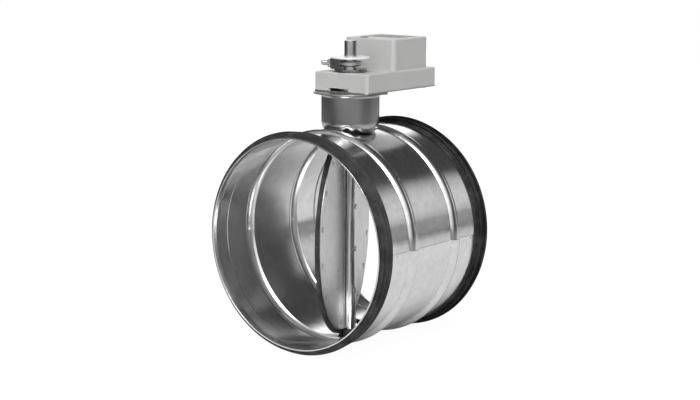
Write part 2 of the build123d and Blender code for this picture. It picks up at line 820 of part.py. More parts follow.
def tooth_points(module, teeth, index):
    """Root and tip points of one tooth, thinned by half the play in the mesh."""
    pitch_r = module * teeth / 2
    root_r = pitch_r - ROOT_DEPTH * module
    tip_r = pitch_r + TIP_HEIGHT * module
    step = 2 * math.pi / teeth
    middle = index * step
    play = MESH_PLAY / 2 / pitch_r
    root = step * ROOT_SHARE - play
    tip = step * TIP_SHARE - play / 2
    places = [(root_r, -root), (tip_r, -tip), (tip_r, tip), (root_r, root)]
    return [(r * math.cos(middle + a), r * math.sin(middle + a)) for r, a in places]


def gear(module, teeth, turn, low, high):
    """Spur gear on the Z axis, with a tooth at the given angle in degrees."""
    points = []
    for index in range(teeth):
        points += tooth_points(module, teeth, index)
    edges = Polyline(*points, close=True)
    return prism(Rot(0, 0, turn) * make_face(edges), low, high)


def mesh_turn(teeth, towards):
    """Turn that puts a tooth gap in the given direction."""
    return towards + 180 / teeth


def first_gear():
    """Pinion in the sector and the wheel above it, in one piece."""
    turn = mesh_turn(FIRST_PINION_TEETH, -TRAIN_ANGLE)
    pinion = gear(OUTPUT_MODULE, FIRST_PINION_TEETH, turn, SECTOR_Z, FIRST_WHEEL_Z)
    wheel = gear(FIRST_MODULE, FIRST_WHEEL_TEETH, TRAIN_ANGLE, FIRST_WHEEL_Z, FIRST_WHEEL_Z + GEAR_FACE)
    return bored(pinion + wheel, FIRST_AXLE_Y)


def second_gear():
    """Pinion in the first wheel and the wheel above it, in one piece."""
    turn = mesh_turn(SECOND_PINION_TEETH, -TRAIN_ANGLE)
    pinion = gear(FIRST_MODULE, SECOND_PINION_TEETH, turn, FIRST_WHEEL_Z, SECOND_WHEEL_Z)
    wheel = gear(SECOND_MODULE, SECOND_WHEEL_TEETH, TRAIN_ANGLE, SECOND_WHEEL_Z, SECOND_WHEEL_Z + GEAR_FACE)
    return bored(pinion + wheel, SECOND_AXLE_Y)


def bored(solid, axle_y):
    """Bores a gear for its axle and moves it there."""
    solid -= rod(AXLE_R + RUNNING_FIT, 0, BOX_TOP)
    return Pos(0, axle_y, 0) * solid


def motor_pinion():
    """Pinion on the motor's shaft, in one piece with it."""
    turn = mesh_turn(MOTOR_PINION_TEETH, -TRAIN_ANGLE)
    pinion = gear(SECOND_MODULE, MOTOR_PINION_TEETH, turn, SECOND_WHEEL_Z, SECOND_WHEEL_Z + GEAR_FACE)
    shaft = rod(MOTOR_SHAFT_R, SECOND_WHEEL_Z, GEAR_PLATE_TOP + MOTOR_BOSS)
    return Pos(0, MOTOR_Y, 0) * (pinion + shaft)


def gear_axles():
    """Steel pins for the two gears."""
    first = rod(AXLE_R, PLATE_TOP, BODY_TOP - BODY_WALL, 0, FIRST_AXLE_Y)
    second = rod(AXLE_R, PLATE_TOP, GEAR_PLATE_TOP, 0, SECOND_AXLE_Y)
    return group([first, second])


def output_hub():
    """Hollow hub: foot in the base plate, gear sector, journal in the housing, crown."""
    shoulder = PLATE_TOP + HUB_SHOULDER_GAP
    hub = rod(HUB_FOOT_R, COLLAR_TOP, shoulder) + rod(HUB_R, shoulder, CROWN_Z)
    hub += rod(CROWN_R, CROWN_Z, CLAMP_Z)
    hub += gear_sector()
    for index in range(CROWN_TEETH):
        notch = block(
            (CROWN_R - CROWN_TOOTH, CROWN_R + 1),
            (-CROWN_TOOTH / 2, CROWN_TOOTH / 2),
            (CROWN_Z - 1, CLAMP_Z + 1),
        )
        hub -= Rot(0, 0, index * 360 / CROWN_TEETH) * notch
    return hub - rod(SPINDLE_R + HUB_BORE_GAP, 0, 2 * CROWN_Z)


def gear_sector():
    """Part of a full gear, centred so that it stays in mesh over the whole travel."""
    full = gear(OUTPUT_MODULE, OUTPUT_TEETH, TRAIN_ANGLE, SECTOR_Z, SECTOR_Z + SECTOR_FACE)
    reach = 2 * OUTPUT_PITCH_R
    middle = TRAIN_ANGLE - SECTOR_TURN_MIDDLE
    half = math.radians(SECTOR_SPAN / 2)
    wedge = outline((0, 0), (reach * math.cos(half), -reach * math.sin(half)), (2 * reach, 0),
                    (reach * math.cos(half), reach * math.sin(half)))
    wedge = prism(Rot(0, 0, middle) * wedge, SECTOR_Z, SECTOR_Z + SECTOR_FACE)
    return full & wedge


# Inside the raised box


def gear_plate():
    """Steel plate that carries the motor, the board and an axle."""
    left, right, front, back = gear_plate_limits()
    plate = slab(left, right, front, back, GEAR_PLATE_Z, GEAR_PLATE_TOP, 1.0)
    low = GEAR_PLATE_Z - 1
    high = GEAR_PLATE_TOP + 1
    plate -= rod(AXLE_R, low, high, 0, SECOND_AXLE_Y)
    plate -= rod(MOTOR_BOSS_R, low, high, 0, MOTOR_Y)
    for x, y in motor_screw_places():
        plate -= peg(MOTOR_SCREW_R, low, high, x, y)
    return plate


def motor_screw_places():
    """Two screws beside the motor's boss."""
    return [(MOTOR_SCREW_PITCH, MOTOR_Y), (-MOTOR_SCREW_PITCH, MOTOR_Y)]


def gear_posts():
    """Round posts between the two plates."""
    return group([peg(POST_R, PLATE_TOP, GEAR_PLATE_Z, x, y) for x, y in post_places()])


def motor():
    """Can of the small motor with its boss in the gear plate."""
    can = rod(MOTOR_R, GEAR_PLATE_TOP, GEAR_PLATE_TOP + MOTOR_HEIGHT)
    can += rod(MOTOR_BOSS_R, GEAR_PLATE_Z, GEAR_PLATE_TOP)
    can -= rod(MOTOR_SHAFT_R + RUNNING_FIT, 0, GEAR_PLATE_TOP + 2 * MOTOR_BOSS)
    can = Pos(0, MOTOR_Y, 0) * can
    for x, y in motor_screw_places():
        can -= peg(MOTOR_SCREW_R, 0, GEAR_PLATE_TOP + 3 * MOTOR_SCREW_R, x, y)
    return can


def motor_screws():
    """Screws from below that hold the motor."""
    screws = []
    for x, y in motor_screw_places():
        screw = peg(MOTOR_SCREW_R, GEAR_PLATE_Z, GEAR_PLATE_TOP + 3 * MOTOR_SCREW_R, x, y)
        screw += peg(MOTOR_SCREW_HEAD_R, GEAR_PLATE_Z - MOTOR_SCREW_HEAD, GEAR_PLATE_Z, x, y)
        screws.append(screw)
    return group(screws)


def board_face():
    """Inner face of the upright circuit board, towards the motor."""
    return BOX_RIGHT - BODY_WALL - BOARD_WALL_GAP - BOARD_THICK


def board_span():
    """Where the board lies along Y, in the middle of the raised box."""
    middle = (BOX_FRONT + BOX_BACK) / 2
    return (middle - BOARD_LENGTH / 2, middle + BOARD_LENGTH / 2)


def circuit_board():
    """Upright board beside the gear plate."""
    face = board_face()
    return block((face, face + BOARD_THICK), board_span(), (GEAR_PLATE_Z, GEAR_PLATE_Z + BOARD_HEIGHT))


def board_parts():
    """Relay, capacitor and terminal strip on the board's inner face."""
    face = board_face()
    front, back = board_span()
    low = GEAR_PLATE_TOP + 1
    relay = block((face - RELAY[0], face), (front + 1, front + 1 + RELAY[1]), (low, low + RELAY[2]))
    strip = block((face - TERMINAL[0], face), (back - 1 - TERMINAL[1], back - 1), (low, low + TERMINAL[2]))
    can = Rot(0, -90, 0) * rod(CAPACITOR_R, 0, CAPACITOR_LENGTH)
    can = Pos(face, front + 1 + RELAY[1] / 2, low + RELAY[2] + 1 + CAPACITOR_R) * can
    return group([relay, strip, can])


def release_button():
    """Round push button with a collar under the housing's top and a stem below."""
    button = rod(BUTTON_R, BUTTON_TOP - BUTTON_THICK, BUTTON_TOP)
    collar_top = BUTTON_SEAT - BUTTON_COLLAR_GAP
    button += rod(BUTTON_COLLAR_R, collar_top - BUTTON_COLLAR, collar_top)
    button += peg(STEM_R, GEAR_PLATE_TOP + STEM_GAP, BUTTON_TOP - BUTTON_THICK)
    return Pos(BUTTON_X, BUTTON_Y, 0) * button


def release_spring():
    """Leaf spring, its foot on the gear plate and its raised end under the button's stem."""
    low = GEAR_PLATE_TOP
    high = GEAR_PLATE_TOP + STEM_GAP - LEAF_GAP
    foot = LEAF_LENGTH / 3
    points = [
        (0, low),
        (foot, low),
        (LEAF_LENGTH - foot, high - LEAF_THICK),
        (LEAF_LENGTH, high - LEAF_THICK),
        (LEAF_LENGTH, high),
        (LEAF_LENGTH - foot, high),
        (foot, low + LEAF_THICK),
        (0, low + LEAF_THICK),
    ]
    leaf = extrude(Plane.YZ * outline(*points), amount=LEAF_WIDTH / 2, both=True)
    return Pos(BUTTON_X, BUTTON_Y + LEAF_LENGTH - foot / 2, 0) * Rot(0, 0, 180) * leaf


def cable_gland():
    """Inlet for the cable: neck through the wall, cap outside, nut inside."""
    gland = bar_along_y(GLAND_R, BODY_BACK - BODY_WALL - GLAND_NUT, BODY_BACK + GLAND_NECK)
    gland += bar_along_y(GLAND_CAP_R, BODY_BACK, BODY_BACK + GLAND_NECK)
    tip = BODY_BACK + GLAND_NECK + GLAND_CAP_LENGTH
    gland += Pos(0, BODY_BACK + GLAND_NECK, 0) * Rot(-90, 0, 0) * Cone(
        GLAND_CAP_R, GLAND_R, GLAND_CAP_LENGTH, align=(Align.CENTER, Align.CENTER, Align.MIN)
    )
    nut_back = BODY_BACK - BODY_WALL
    gland += Pos(0, nut_back - GLAND_NUT, 0) * Rot(-90, 0, 0) * hexagon(2 * GLAND_CAP_R, GLAND_NUT)
    gland -= bar_along_y(GLAND_BORE_R, nut_back - GLAND_NUT - 1, tip + 1)
    return Pos(GLAND_X, 0, GLAND_Z) * gland


# U-bolt clamp, drawn with its nuts towards +X


def clamp_jaw():
    """Block with a toothed V that grips the spindle, on the nuts' side."""
    jaw = block((JAW_FACE, JAW_FACE + JAW_DEPTH), (-JAW_HALF_WIDTH, JAW_HALF_WIDTH), (CLAMP_Z, CLAMP_TOP))
    apex = SPINDLE_R * math.sqrt(2)
    v_face = outline((apex, 0), (-apex, 2 * apex), (-apex, -2 * apex))
    jaw -= prism(v_face, CLAMP_Z - 1, CLAMP_TOP + 1)
    for index in range(JAW_TEETH):
        height = CLAMP_Z + JAW_HEIGHT * (index + 0.5) / JAW_TEETH
        groove = block((0, JAW_TOOTH), (0, JAW_TOOTH), (height - JAW_TOOTH, height + JAW_TOOTH))
        jaw -= Pos(apex - JAW_TOOTH / 2, 0, 0) * Rot(0, 0, 45) * groove
    for side in (1, -1):
        hole = Rot(0, 90, 0) * rod(BOLT_R + BOLT_FIT, -1, 2 * BOLT_REACH)
        jaw -= Pos(0, side * BOLT_BEND_R, JAW_MIDDLE) * hole
    return CLAMP_PLACE * jaw


def clamp_bolt():
    """Round bar bent round the spindle, both legs through the jaw."""
    legs = Line((BOLT_REACH, -BOLT_BEND_R), (0, -BOLT_BEND_R))
    bend = ThreePointArc((0, -BOLT_BEND_R), (-BOLT_BEND_R, 0), (0, BOLT_BEND_R))
    back = Line((0, BOLT_BEND_R), (BOLT_REACH, BOLT_BEND_R))
    path = Pos(0, 0, JAW_MIDDLE) * Wire([legs, bend, back])
    start = Plane(origin=(BOLT_REACH, -BOLT_BEND_R, JAW_MIDDLE), z_dir=(-1, 0, 0))
    section = start * RegularPolygon(BOLT_R, 12)
    return CLAMP_PLACE * sweep(section, path)


def on_legs(solid):
    """The same solid, drawn along Z, on both legs of the U-bolt."""
    placed = []
    for side in (1, -1):
        placed.append(CLAMP_PLACE * Pos(0, side * BOLT_BEND_R, JAW_MIDDLE) * Rot(0, 90, 0) * solid)
    return group(placed)


def clamp_washers():
    """Plain washers between jaw and nuts."""
    start = JAW_FACE + JAW_DEPTH
    washer = Pos(0, 0, start) * extrude(RegularPolygon(WASHER_R, 16), amount=WASHER_THICK)
    return on_legs(washer - rod(BOLT_R, 0, 2 * BOLT_REACH))


def clamp_nuts():
    """Hexagon nuts on both legs."""
    start = JAW_FACE + JAW_DEPTH + WASHER_THICK
    nut = Pos(0, 0, start) * hexagon(CLAMP_NUT_FLATS, CLAMP_NUT_HEIGHT)
    return on_legs(nut - rod(BOLT_R, 0, 2 * BOLT_REACH))


def clamp_disc():
    """Bright ring plate on top of the jaw."""
    top = CLAMP_TOP + CLAMP_DISC_THICK
    return tube(CLAMP_DISC_R, SPINDLE_R + CLAMP_DISC_HOLE_GAP, CLAMP_TOP, top)


def parts():
    """Every node by name."""
    return {
        "duct_shell": duct_shell(),
        "front_seal": lip_seal(-1),
        "rear_seal": lip_seal(1),
        "upper_bearing": upper_bearing(),
        "lower_bearing": lower_bearing(),
        "bearing_retainers": bearing_retainers(),
        "saddle_gasket": saddle_gasket(),
        "actuator_collar": actuator_collar(),
        "collar_rivets": collar_rivets(),
        "base_plate": base_plate(),
        "flange_screws": group(
            [lower_screw(COLLAR_TOP - COLLAR_WALL, x, y) for x, y in flange_screw_places()]
        ),
        "plate_screws": group([lower_screw(COLLAR_TOP, x, y) for x, y in plate_screw_places()]),
        "actuator_housing": actuator_housing(),
        "gear_plate": gear_plate(),
        "gear_posts": gear_posts(),
        "gear_axles": gear_axles(),
        "motor": motor(),
        "motor_screws": motor_screws(),
        "circuit_board": circuit_board(),
        "board_parts": board_parts(),
        "cable_gland": cable_gland(),
        "release_spring": release_spring(),
        "release_button": release_button(),
        "spindle": spindle(),
        "spindle_seal": spindle_seal(),
        "spindle_clip": spindle_clip(),
        "blade_front": blade_front(),
        "blade_rear": blade_rear(),
        "blade_gasket": blade_gasket(),
        "blade_rivets": blade_rivets(),
        "blade_screws": blade_screws(),
        "blade_nuts": blade_nuts(),
        "output_hub": output_hub(),
        "clamp_jaw": clamp_jaw(),
        "clamp_bolt": clamp_bolt(),
        "clamp_washers": clamp_washers(),
        "clamp_nuts": clamp_nuts(),
        "clamp_disc": clamp_disc(),
        "first_gear": first_gear(),
        "second_gear": second_gear(),
        "motor_pinion": motor_pinion(),
    }


for name, solid in parts().items():
    export_step(solid, f"parts/{name}.step")
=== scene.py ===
"""Looks of a round duct shut-off damper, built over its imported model.

Every size is in metres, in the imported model's frame: Y is the duct's axis, Z the spindle's.
"""
import math

import bmesh
import bpy
from bpy.props import FloatProperty, FloatVectorProperty, IntProperty, PointerProperty
from mathutils import Matrix, Vector


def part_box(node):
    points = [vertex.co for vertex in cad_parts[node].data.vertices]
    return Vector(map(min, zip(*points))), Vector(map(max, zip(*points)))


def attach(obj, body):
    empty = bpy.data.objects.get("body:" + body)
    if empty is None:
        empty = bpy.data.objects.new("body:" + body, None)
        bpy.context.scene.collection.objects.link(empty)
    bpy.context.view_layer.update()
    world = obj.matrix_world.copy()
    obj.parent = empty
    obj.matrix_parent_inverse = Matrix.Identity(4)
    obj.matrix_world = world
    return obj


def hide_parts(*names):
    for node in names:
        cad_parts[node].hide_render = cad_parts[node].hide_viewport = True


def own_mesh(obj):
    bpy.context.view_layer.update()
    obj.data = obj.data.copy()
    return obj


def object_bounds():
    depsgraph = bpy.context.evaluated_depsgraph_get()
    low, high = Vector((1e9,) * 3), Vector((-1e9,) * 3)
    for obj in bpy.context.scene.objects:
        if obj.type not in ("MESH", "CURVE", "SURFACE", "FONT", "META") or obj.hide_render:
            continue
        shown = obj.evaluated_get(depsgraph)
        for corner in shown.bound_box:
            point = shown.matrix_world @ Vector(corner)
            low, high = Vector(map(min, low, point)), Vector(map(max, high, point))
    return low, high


bl_info = {
    "name": "Duct Damper Looks",
    "version": (1, 0, 0),
    "blender": (4, 5, 0),
    "location": "View3D > Sidebar > Damper",
    "description": "Builds the visible pieces of a round duct shut-off damper over its model",
    "category": "Object",
}

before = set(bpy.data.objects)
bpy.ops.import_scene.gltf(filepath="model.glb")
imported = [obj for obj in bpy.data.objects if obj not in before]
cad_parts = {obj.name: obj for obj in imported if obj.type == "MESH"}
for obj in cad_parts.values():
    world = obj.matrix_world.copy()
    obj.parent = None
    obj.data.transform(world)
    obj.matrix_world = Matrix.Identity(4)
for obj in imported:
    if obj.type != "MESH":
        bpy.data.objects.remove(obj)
CAD_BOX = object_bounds()
MM = 0.001
TURN = 2 * math.pi
SPINDLE_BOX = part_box("spindle")
CASE_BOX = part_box("actuator_housing")
CUP_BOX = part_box("actuator_collar")
DUCT_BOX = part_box("duct_shell")
DISC_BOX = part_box("clamp_disc")


# Colours and properties


def linear(code):
    """Turns an sRGB hex colour into the linear red, green and blue that nodes take."""
    parts = [int(code[place:place + 2], 16) / 255 for place in (1, 3, 5)]
    return tuple(p / 12.92 if p <= 0.04045 else ((p + 0.055) / 1.055) ** 2.4 for p in parts)


def length(name, text, default):
    """A length in metres with its default given in millimetres."""
    return FloatProperty(
        name=name, description=text, default=default * MM,
        subtype="DISTANCE", unit="LENGTH", precision=5,
    )


def angle(name, text, default):
    """An angle with its default given in degrees."""
    return FloatProperty(
        name=name, description=text, default=math.radians(default),
        subtype="ANGLE", unit="ROTATION",
    )


def number(name, text, default):
    """A number without a unit."""
    return FloatProperty(name=name, description=text, default=default)


def colour(name, text, default):
    """A colour with its default given as sRGB hex."""
    return FloatVectorProperty(
        name=name, description=text, default=linear(default), size=3, min=0, max=1,
        subtype="COLOR",
    )


class DamperTube(bpy.types.PropertyGroup):
    """Sheet-metal tube and its two rubber lip seals."""

    radius: length("Radius", "Outer radius of the tube between its seats", 99.5)
    wall: length("Wall", "Sheet thickness", 0.7)
    seat_drop: length("Seat drop", "How much lower the seal seats lie", 0.8)
    seat_length: length("Seat length", "Length of the seal seat at each end", 19.0)
    seat_slope: length("Seat slope", "Length of the step between tube and seat", 1.6)
    rim_rise: length("Rim rise", "How far the turned-out rim stands over the seat", 1.1)
    rim_thick: length("Rim thickness", "Thickness of the turned-out rim", 0.8)
    mouth_flare: length("Mouth flare", "How far the sheet's mouth opens out", 0.4)
    mouth_crest: length("Mouth crest", "Distance of the rolled crest from the tube's end", 3.6)
    crest_rise: length("Crest rise", "How far the rolled crest stands into the bore", 0.3)
    bead_place: length("Bead place", "Distance of each bead from the middle", 33.5)
    bead_half: length("Bead half width", "Half the width of a rolled bead", 6.7)
    bead_height: length("Bead height", "Height of a rolled bead", 3.3)
    lap_low: length("Lap foot", "Height of the inner sheet's edge at the seam", -5.2)
    lap_top: length("Lap top", "Height of the outer sheet's edge at the seam", -0.2)
    lap_rise: length("Lap rise", "Step of the outer sheet at the seam", 0.4)
    lap_blend: length("Lap blend", "Distance over which the step fades out", 14.0)
    weld_radius: length("Weld radius", "Radius of a spot weld along the seam", 1.3)
    lip_rise: length("Lip rise", "Height of the outer lip over the seat", 6.3)
    sheet: colour("Sheet", "Galvanised sheet", "#e8e8e8")
    rubber: colour("Rubber", "Rubber of the seals", "#232324")


class DamperBlade(bpy.types.PropertyGroup):
    """Blade of two steel discs with a rubber ring, on its spindle."""

    turn: angle("Turn", "Blade's angle from fully open", 23.4)
    disc_radius: length("Disc radius", "Radius of the two steel discs", 94.5)
    sheet_wall: length("Disc thickness", "Thickness of each disc", 0.9)
    front: length("Front", "Distance of the front disc's face behind the spindle", 3.9)
    back: length("Back", "Distance of the rear disc's face behind the spindle", 8.9)
    trough_fit: length("Trough fit", "Gap between spindle and trough", 0.05)
    crease_half: length("Crease half width", "Half the width of a crease beside the trough", 1.2)
    crease_depth: length("Crease depth", "Depth of a crease beside the trough", 1.2)
    rivet_inset: length("Rivet inset", "Distance of the rivets from the disc's edge", 7.5)
    rivet_radius: length("Rivet radius", "Radius of a rivet's head", 2.8)
    rivet_height: length("Rivet height", "Height of a rivet's head", 0.8)
    rivets: IntProperty(
        name="Rivets", description="Rivets round the rim", default=16, min=3, max=48
    )
    screws: IntProperty(
        name="Screws", description="Screws along the spindle", default=4, min=1, max=12
    )
    screw_lowest: length("Lowest screw", "Height of the lowest screw", -57.0)
    screw_step: length("Screw step", "Distance from screw to screw", 41.0)
    screw_radius: length("Screw radius", "Radius of a screw's head", 3.6)
    screw_seat: length("Screw seat", "Distance of the head's seat from the spindle", 4.8)
    screw_height: length("Screw height", "Height of a screw's head", 1.9)
    nut_flats: length("Nut flats", "Width over flats of the blade's nuts", 7.0)
    nut_height: length("Nut height", "Height of the blade's nuts", 3.2)
    tail_radius: length("Tail radius", "Radius of the screws' tails in their nuts", 2.0)
    tail_height: length("Tail height", "Height of the rounded tails", 1.0)
    sheet: colour("Sheet", "Galvanised blade sheet", "#d2d2d2")
    bar: colour("Bar", "Drawn steel of the spindle", "#d2d2d2")


class DamperActuator(bpy.types.PropertyGroup):
    """Cup on the tube's crown and the actuator's case."""

    cup_wall: length("Cup wall", "Sheet thickness of the cup", 1.2)
    cup_radius: length("Cup radius", "Outer radius of the cup", 27.7)
    cup_corner: length("Cup corner", "Radius of the cup's bottom corner", 7.5)
    cup_bend: length("Flange bend", "Radius of the bend into the flange", 3.3)
    cup_hole: length("Cup hole", "Radius of the hole in the cup's bottom", 7.6)
    lid_hole: length("Lid hole", "Radius of the hole in the cup's lid", 14.0)
    lid_wall: length("Lid thickness", "Thickness of the cup's lid", 0.6)
    arch_rise: length("Arch rise", "Height of the arches in the cup's foot", 2.2)
    wall: length("Case wall", "Wall of the moulded case", 2.0)
    base_height: length("Base height", "Height of the case's low base", 17.5)
    base_corner: length("Base corner", "Radius of the base's upright corners", 3.2)
    box_right: length("Box right", "Place of the raised box's right face", 27.3)
    # the disc's near-white, hardly metallic finish is a painted highlight in place of its plated
    # metal's bright reflection
    box_front: length("Box front", "Place of the raised box's front face", 32.2)
    box_back: length("Box back", "Place of the raised box's rear face", 88.4)
    box_corner: length("Box corner", "Radius of the box's upright corners", 4.4)
    edge: length("Edge", "Radius of the moulded edges", 1.2)
    slot_middle: length("Slot middle", "Middle of the strap slot across the front", -2.0)
    slot_width: length("Slot width", "Width of the strap slot", 23.0)
    slot_height: length("Slot height", "Height of the strap slot", 2.6)
    field_width: length("Field width", "Width of the sunk field on top", 44.0)
    field_length: length("Field length", "Length of the sunk field on top", 32.0)
    field_depth: length("Field depth", "Depth of the sunk field on top", 0.5)
    field_shift: length("Field shift", "How far the field lies behind the box's middle", 5.7)
    journal_radius: length("Journal radius", "Radius of the opening round the spindle's hub", 11.1)
    button_hole: length("Button hole", "Radius of the release button's hole", 4.6)
    button_radius: length("Button radius", "Radius of the release button", 4.3)
    press_travel: length("Press travel", "Way of the release button to its limit", 1.6)
    plate_gap: length("Plate gap", "Gap round the bare plate in the sunk field", 0.5)
    plate_length: length("Plate length", "Length of the bare plate at the field's rear", 22.0)
    plastic: colour("Plastic", "Moulded case", "#b9b9b8")
    cup: colour("Cup steel", "Deep-drawn cup", "#b4b4b4")


class DamperClamp(bpy.types.PropertyGroup):
    """U-bolt clamp that grips the spindle, and the hub's crown under it."""

    bolt_drop: length("Bolt drop", "Distance of the bolt's axis under the bright disc", 5.0)
    bolt_radius: length("Bolt radius", "Radius of the U-bolt's bar", 2.5)
    bolt_bend: length("Bolt bend", "Radius of the bend at the bar's middle", 8.6)
    bolt_reach: length("Bolt reach", "Distance of the bolt's tips from the spindle", 27.5)
    thread_pitch: length("Thread pitch", "Pitch of the bolt's thread", 0.8)
    thread_depth: length("Thread depth", "Depth of the bolt's thread", 0.28)
    thread_start: length("Thread start", "Where the thread starts", 9.0)
    nut_start: length("Nut start", "Where the nuts start on the legs", 14.9)
    nut_flats: length("Nut flats", "Width over flats of the nuts", 8.0)
    nut_height: length("Nut height", "Height of the nuts", 4.0)
    washer_radius: length("Washer radius", "Radius of the washers", 4.6)
    washer_thick: length("Washer thickness", "Thickness of the washers", 0.9)
    disc_gap: length("Disc gap", "Gap between the bright disc and the spindle", 0.3)
    plated: colour("Plated steel", "Zinc-plated fasteners", "#cdcdcd")
    dark: colour("Jaw steel", "Hardened jaw and crown", "#a4a4a5")
    # near-white colour of the bright disc: a painted highlight in place of the bright reflection
    # of its plated metal
    disc: colour("Disc white, painted highlight", "Near-white disc colour that paints its highlight", "#fafafa")


class DamperStage(bpy.types.PropertyGroup):
    """Camera, light and floor."""

    azimuth: angle("Azimuth", "Camera's turn about Z from the near side", 37.653)
    elevation: angle("Elevation", "Camera's rise", 9.709)
    roll: angle("Roll", "Camera's turn about its own axis", 0.249)
    distance: length("Distance", "Camera's distance from the duct's middle", 1607.0)
    rise: length("Rise", "How far the camera's aim lies over the duct's middle", 30.5)
    lens: number("Lens", "Focal length in millimetres", 85.71)
    floor: colour("Floor", "Studio paper", "#dedede")
    dark_floor: colour("Dark floor", "Studio floor past the paper", "#3c3c3c")
    floor_half: length("Floor half", "Half the width of the whole floor", 3000.0)
    paper_middle: FloatVectorProperty(
        name="Paper middle", description="Middle of the white paper", default=(-0.15, 0.5, -0.1),
        size=3, subtype="TRANSLATION", unit="LENGTH",
    )
    paper_inner: length("Paper inner", "Distance from that middle where the paper fades", 1100.0)
    paper_outer: length("Paper outer", "Distance from it where only dark floor is left", 1400.0)
    paper_glow: number("Paper glow", "Brightness of the paper in metal", 1.0)
    dark_glow: number("Dark glow", "Brightness of the dark floor in metal", 0.15)
    glow_share: number("Glow share", "Share of that brightness over the lit paper", 0.2)
    shade_inner: length("Shade inner", "Distance from the object without any glow", 180.0)
    shade_outer: length("Shade outer", "Distance from the object with all the glow", 480.0)
    lit_share: number("Lit share", "Share of the lit paper in what the camera sees", 0.12)
    paper_white: number("Paper white", "Brightness of the rest of what it sees", 1.09)
    floor_gap: length("Floor gap", "Distance of the floor under the lowest lip", 0.5)
    room: number("Room", "Brightness of the dim room between the panels", 0.06)


# Nodes and materials


def add_node(tree, kind, settings=None, inputs=None):
    """Adds one node, sets its properties, and fills its inputs with values or links."""
    made = tree.nodes.new(kind)
    for name, value in (settings or {}).items():
        setattr(made, name, value)
    for name, value in (inputs or {}).items():
        if isinstance(value, bpy.types.NodeSocket):
            tree.links.new(value, made.inputs[name])
        else:
            made.inputs[name].default_value = value
    return made


def start_material(name, tint, metallic, roughness, grains=()):
    """A material with its plain values set, and a noise for each (size, detail, roughness)."""
    material = bpy.data.materials.new(name)
    material.use_nodes = True
    tree = material.node_tree
    shader = tree.nodes["Principled BSDF"]
    shader.inputs["Base Color"].default_value = (*tint, 1)
    shader.inputs["Metallic"].default_value = metallic
    shader.inputs["Roughness"].default_value = roughness
    place = add_node(tree, "ShaderNodeTexCoord").outputs["Object"]
    noises = [
        add_node(
            tree, "ShaderNodeTexNoise", None,
            {"Vector": place, "Scale": per_metre(size), "Detail": detail, "Roughness": rough},
        ).outputs["Fac"]
        for size, detail, rough in grains
    ]
    return material, place, noises


def finish_material(material, tint, pattern, tones, dull=None, bump=None):
    """Lets patterns set a started material's colour, roughness and relief.

    The tones are factors on the tint at the pattern's low and high end, dull is a pattern with
    its two roughnesses, and bump a pattern with its strength and depth.
    """
    tree = material.node_tree
    shader = tree.nodes["Principled BSDF"]
    tone = add_node(
        tree, "ShaderNodeMix", {"data_type": "RGBA"},
        {0: pattern, 6: shaded(tint, tones[0]), 7: shaded(tint, tones[1])},
    )
    tree.links.new(tone.outputs[2], shader.inputs["Base Color"])
    if dull:
        source, smooth, rough = dull
        sheen = add_node(
            tree, "ShaderNodeMapRange", None,
            {"Value": source, "From Min": 0.3, "From Max": 0.7, "To Min": smooth, "To Max": rough},
        )
        tree.links.new(sheen.outputs[0], shader.inputs["Roughness"])
    if bump:
        source, strength, depth = bump
        relief = add_node(
            tree, "ShaderNodeBump", None,
            {"Height": source, "Strength": strength, "Distance": depth},
        )
        tree.links.new(relief.outputs[0], shader.inputs["Normal"])
    return material


def per_metre(size):
    """Texture scale for a pattern whose cells measure the given size in metres."""
    return 1 / size


def shaded(tint, factor):
    """A tint made darker or lighter by a factor, as a four-part colour."""
    return (*(min(1.0, part * factor) for part in tint), 1)


def galvanised_steel(name, tint, roughness):
    """Hot-dip galvanised sheet: soft zinc crystals of 5 mm, fine grain and a clouded dull sheen.

    The real grain is too fine to show, so it is drawn at 1.2 mm.
    """
    material, place, (grain, clouds) = start_material(
        name, tint, metallic=1.0, roughness=roughness,
        grains=[(1.2 * MM, 3.0, 0.6), (45 * MM, 2.0, 0.5)],
    )
    tree = material.node_tree
    crystals = add_node(
        tree, "ShaderNodeTexVoronoi", {"feature": "SMOOTH_F1"},
        {"Vector": place, "Scale": per_metre(5 * MM), "Smoothness": 0.6, "Randomness": 1.0},
    )
    mottle = add_node(
        tree, "ShaderNodeMix", {"data_type": "FLOAT"},
        {0: 0.45, 2: crystals.outputs["Color"], 3: grain},
    ).outputs[0]
    return finish_material(
        material, tint, mottle, (0.84, 1.1), (clouds, roughness - 0.04, roughness + 0.05),
        (mottle, 0.12, 0.15 * MM),
    )


def drawn_steel(name, tint, streak, roughness):
    """Drawn steel: lines along Z that the die left, on a satin metal.

    Real die lines and grain are finer; they are drawn over a millimetre wide, so that they show.
    """
    material, place, (grain,) = start_material(
        name, tint, metallic=1.0, roughness=roughness, grains=[(1.1 * MM, 3.0, 0.7)]
    )
    tree = material.node_tree
    stretch = add_node(tree, "ShaderNodeMapping", None, {"Vector": place, "Scale": (1, 1, 0.04)})
    lines = add_node(
        tree, "ShaderNodeTexNoise", None,
        {"Vector": stretch.outputs[0], "Scale": per_metre(streak), "Detail": 4.0,
         "Roughness": 0.7},
    )
    mixed = add_node(
        tree, "ShaderNodeMix", {"data_type": "FLOAT"},
        {0: 0.4, 2: lines.outputs["Fac"], 3: grain},
    )
    return finish_material(
        material, tint, mixed.outputs[0], (0.88, 1.1), (grain, roughness - 0.02, roughness + 0.03)
    )


def plated_steel(name, tint, roughness, metallic=1.0):
    """Plated or bare small metal parts: bright, slightly cloudy, with worn patches of 3 mm.

    With a low metallic the tint shows as plain colour, which the bright clamp disc uses as a
    painted highlight in place of its metal's reflection.
    """
    material, _, (patches,) = start_material(
        name, tint, metallic, roughness, grains=[(3 * MM, 4.0, 0.6)]
    )
    return finish_material(
        material, tint, patches, (0.7, 1.2), (patches, roughness, roughness + 0.12)
    )


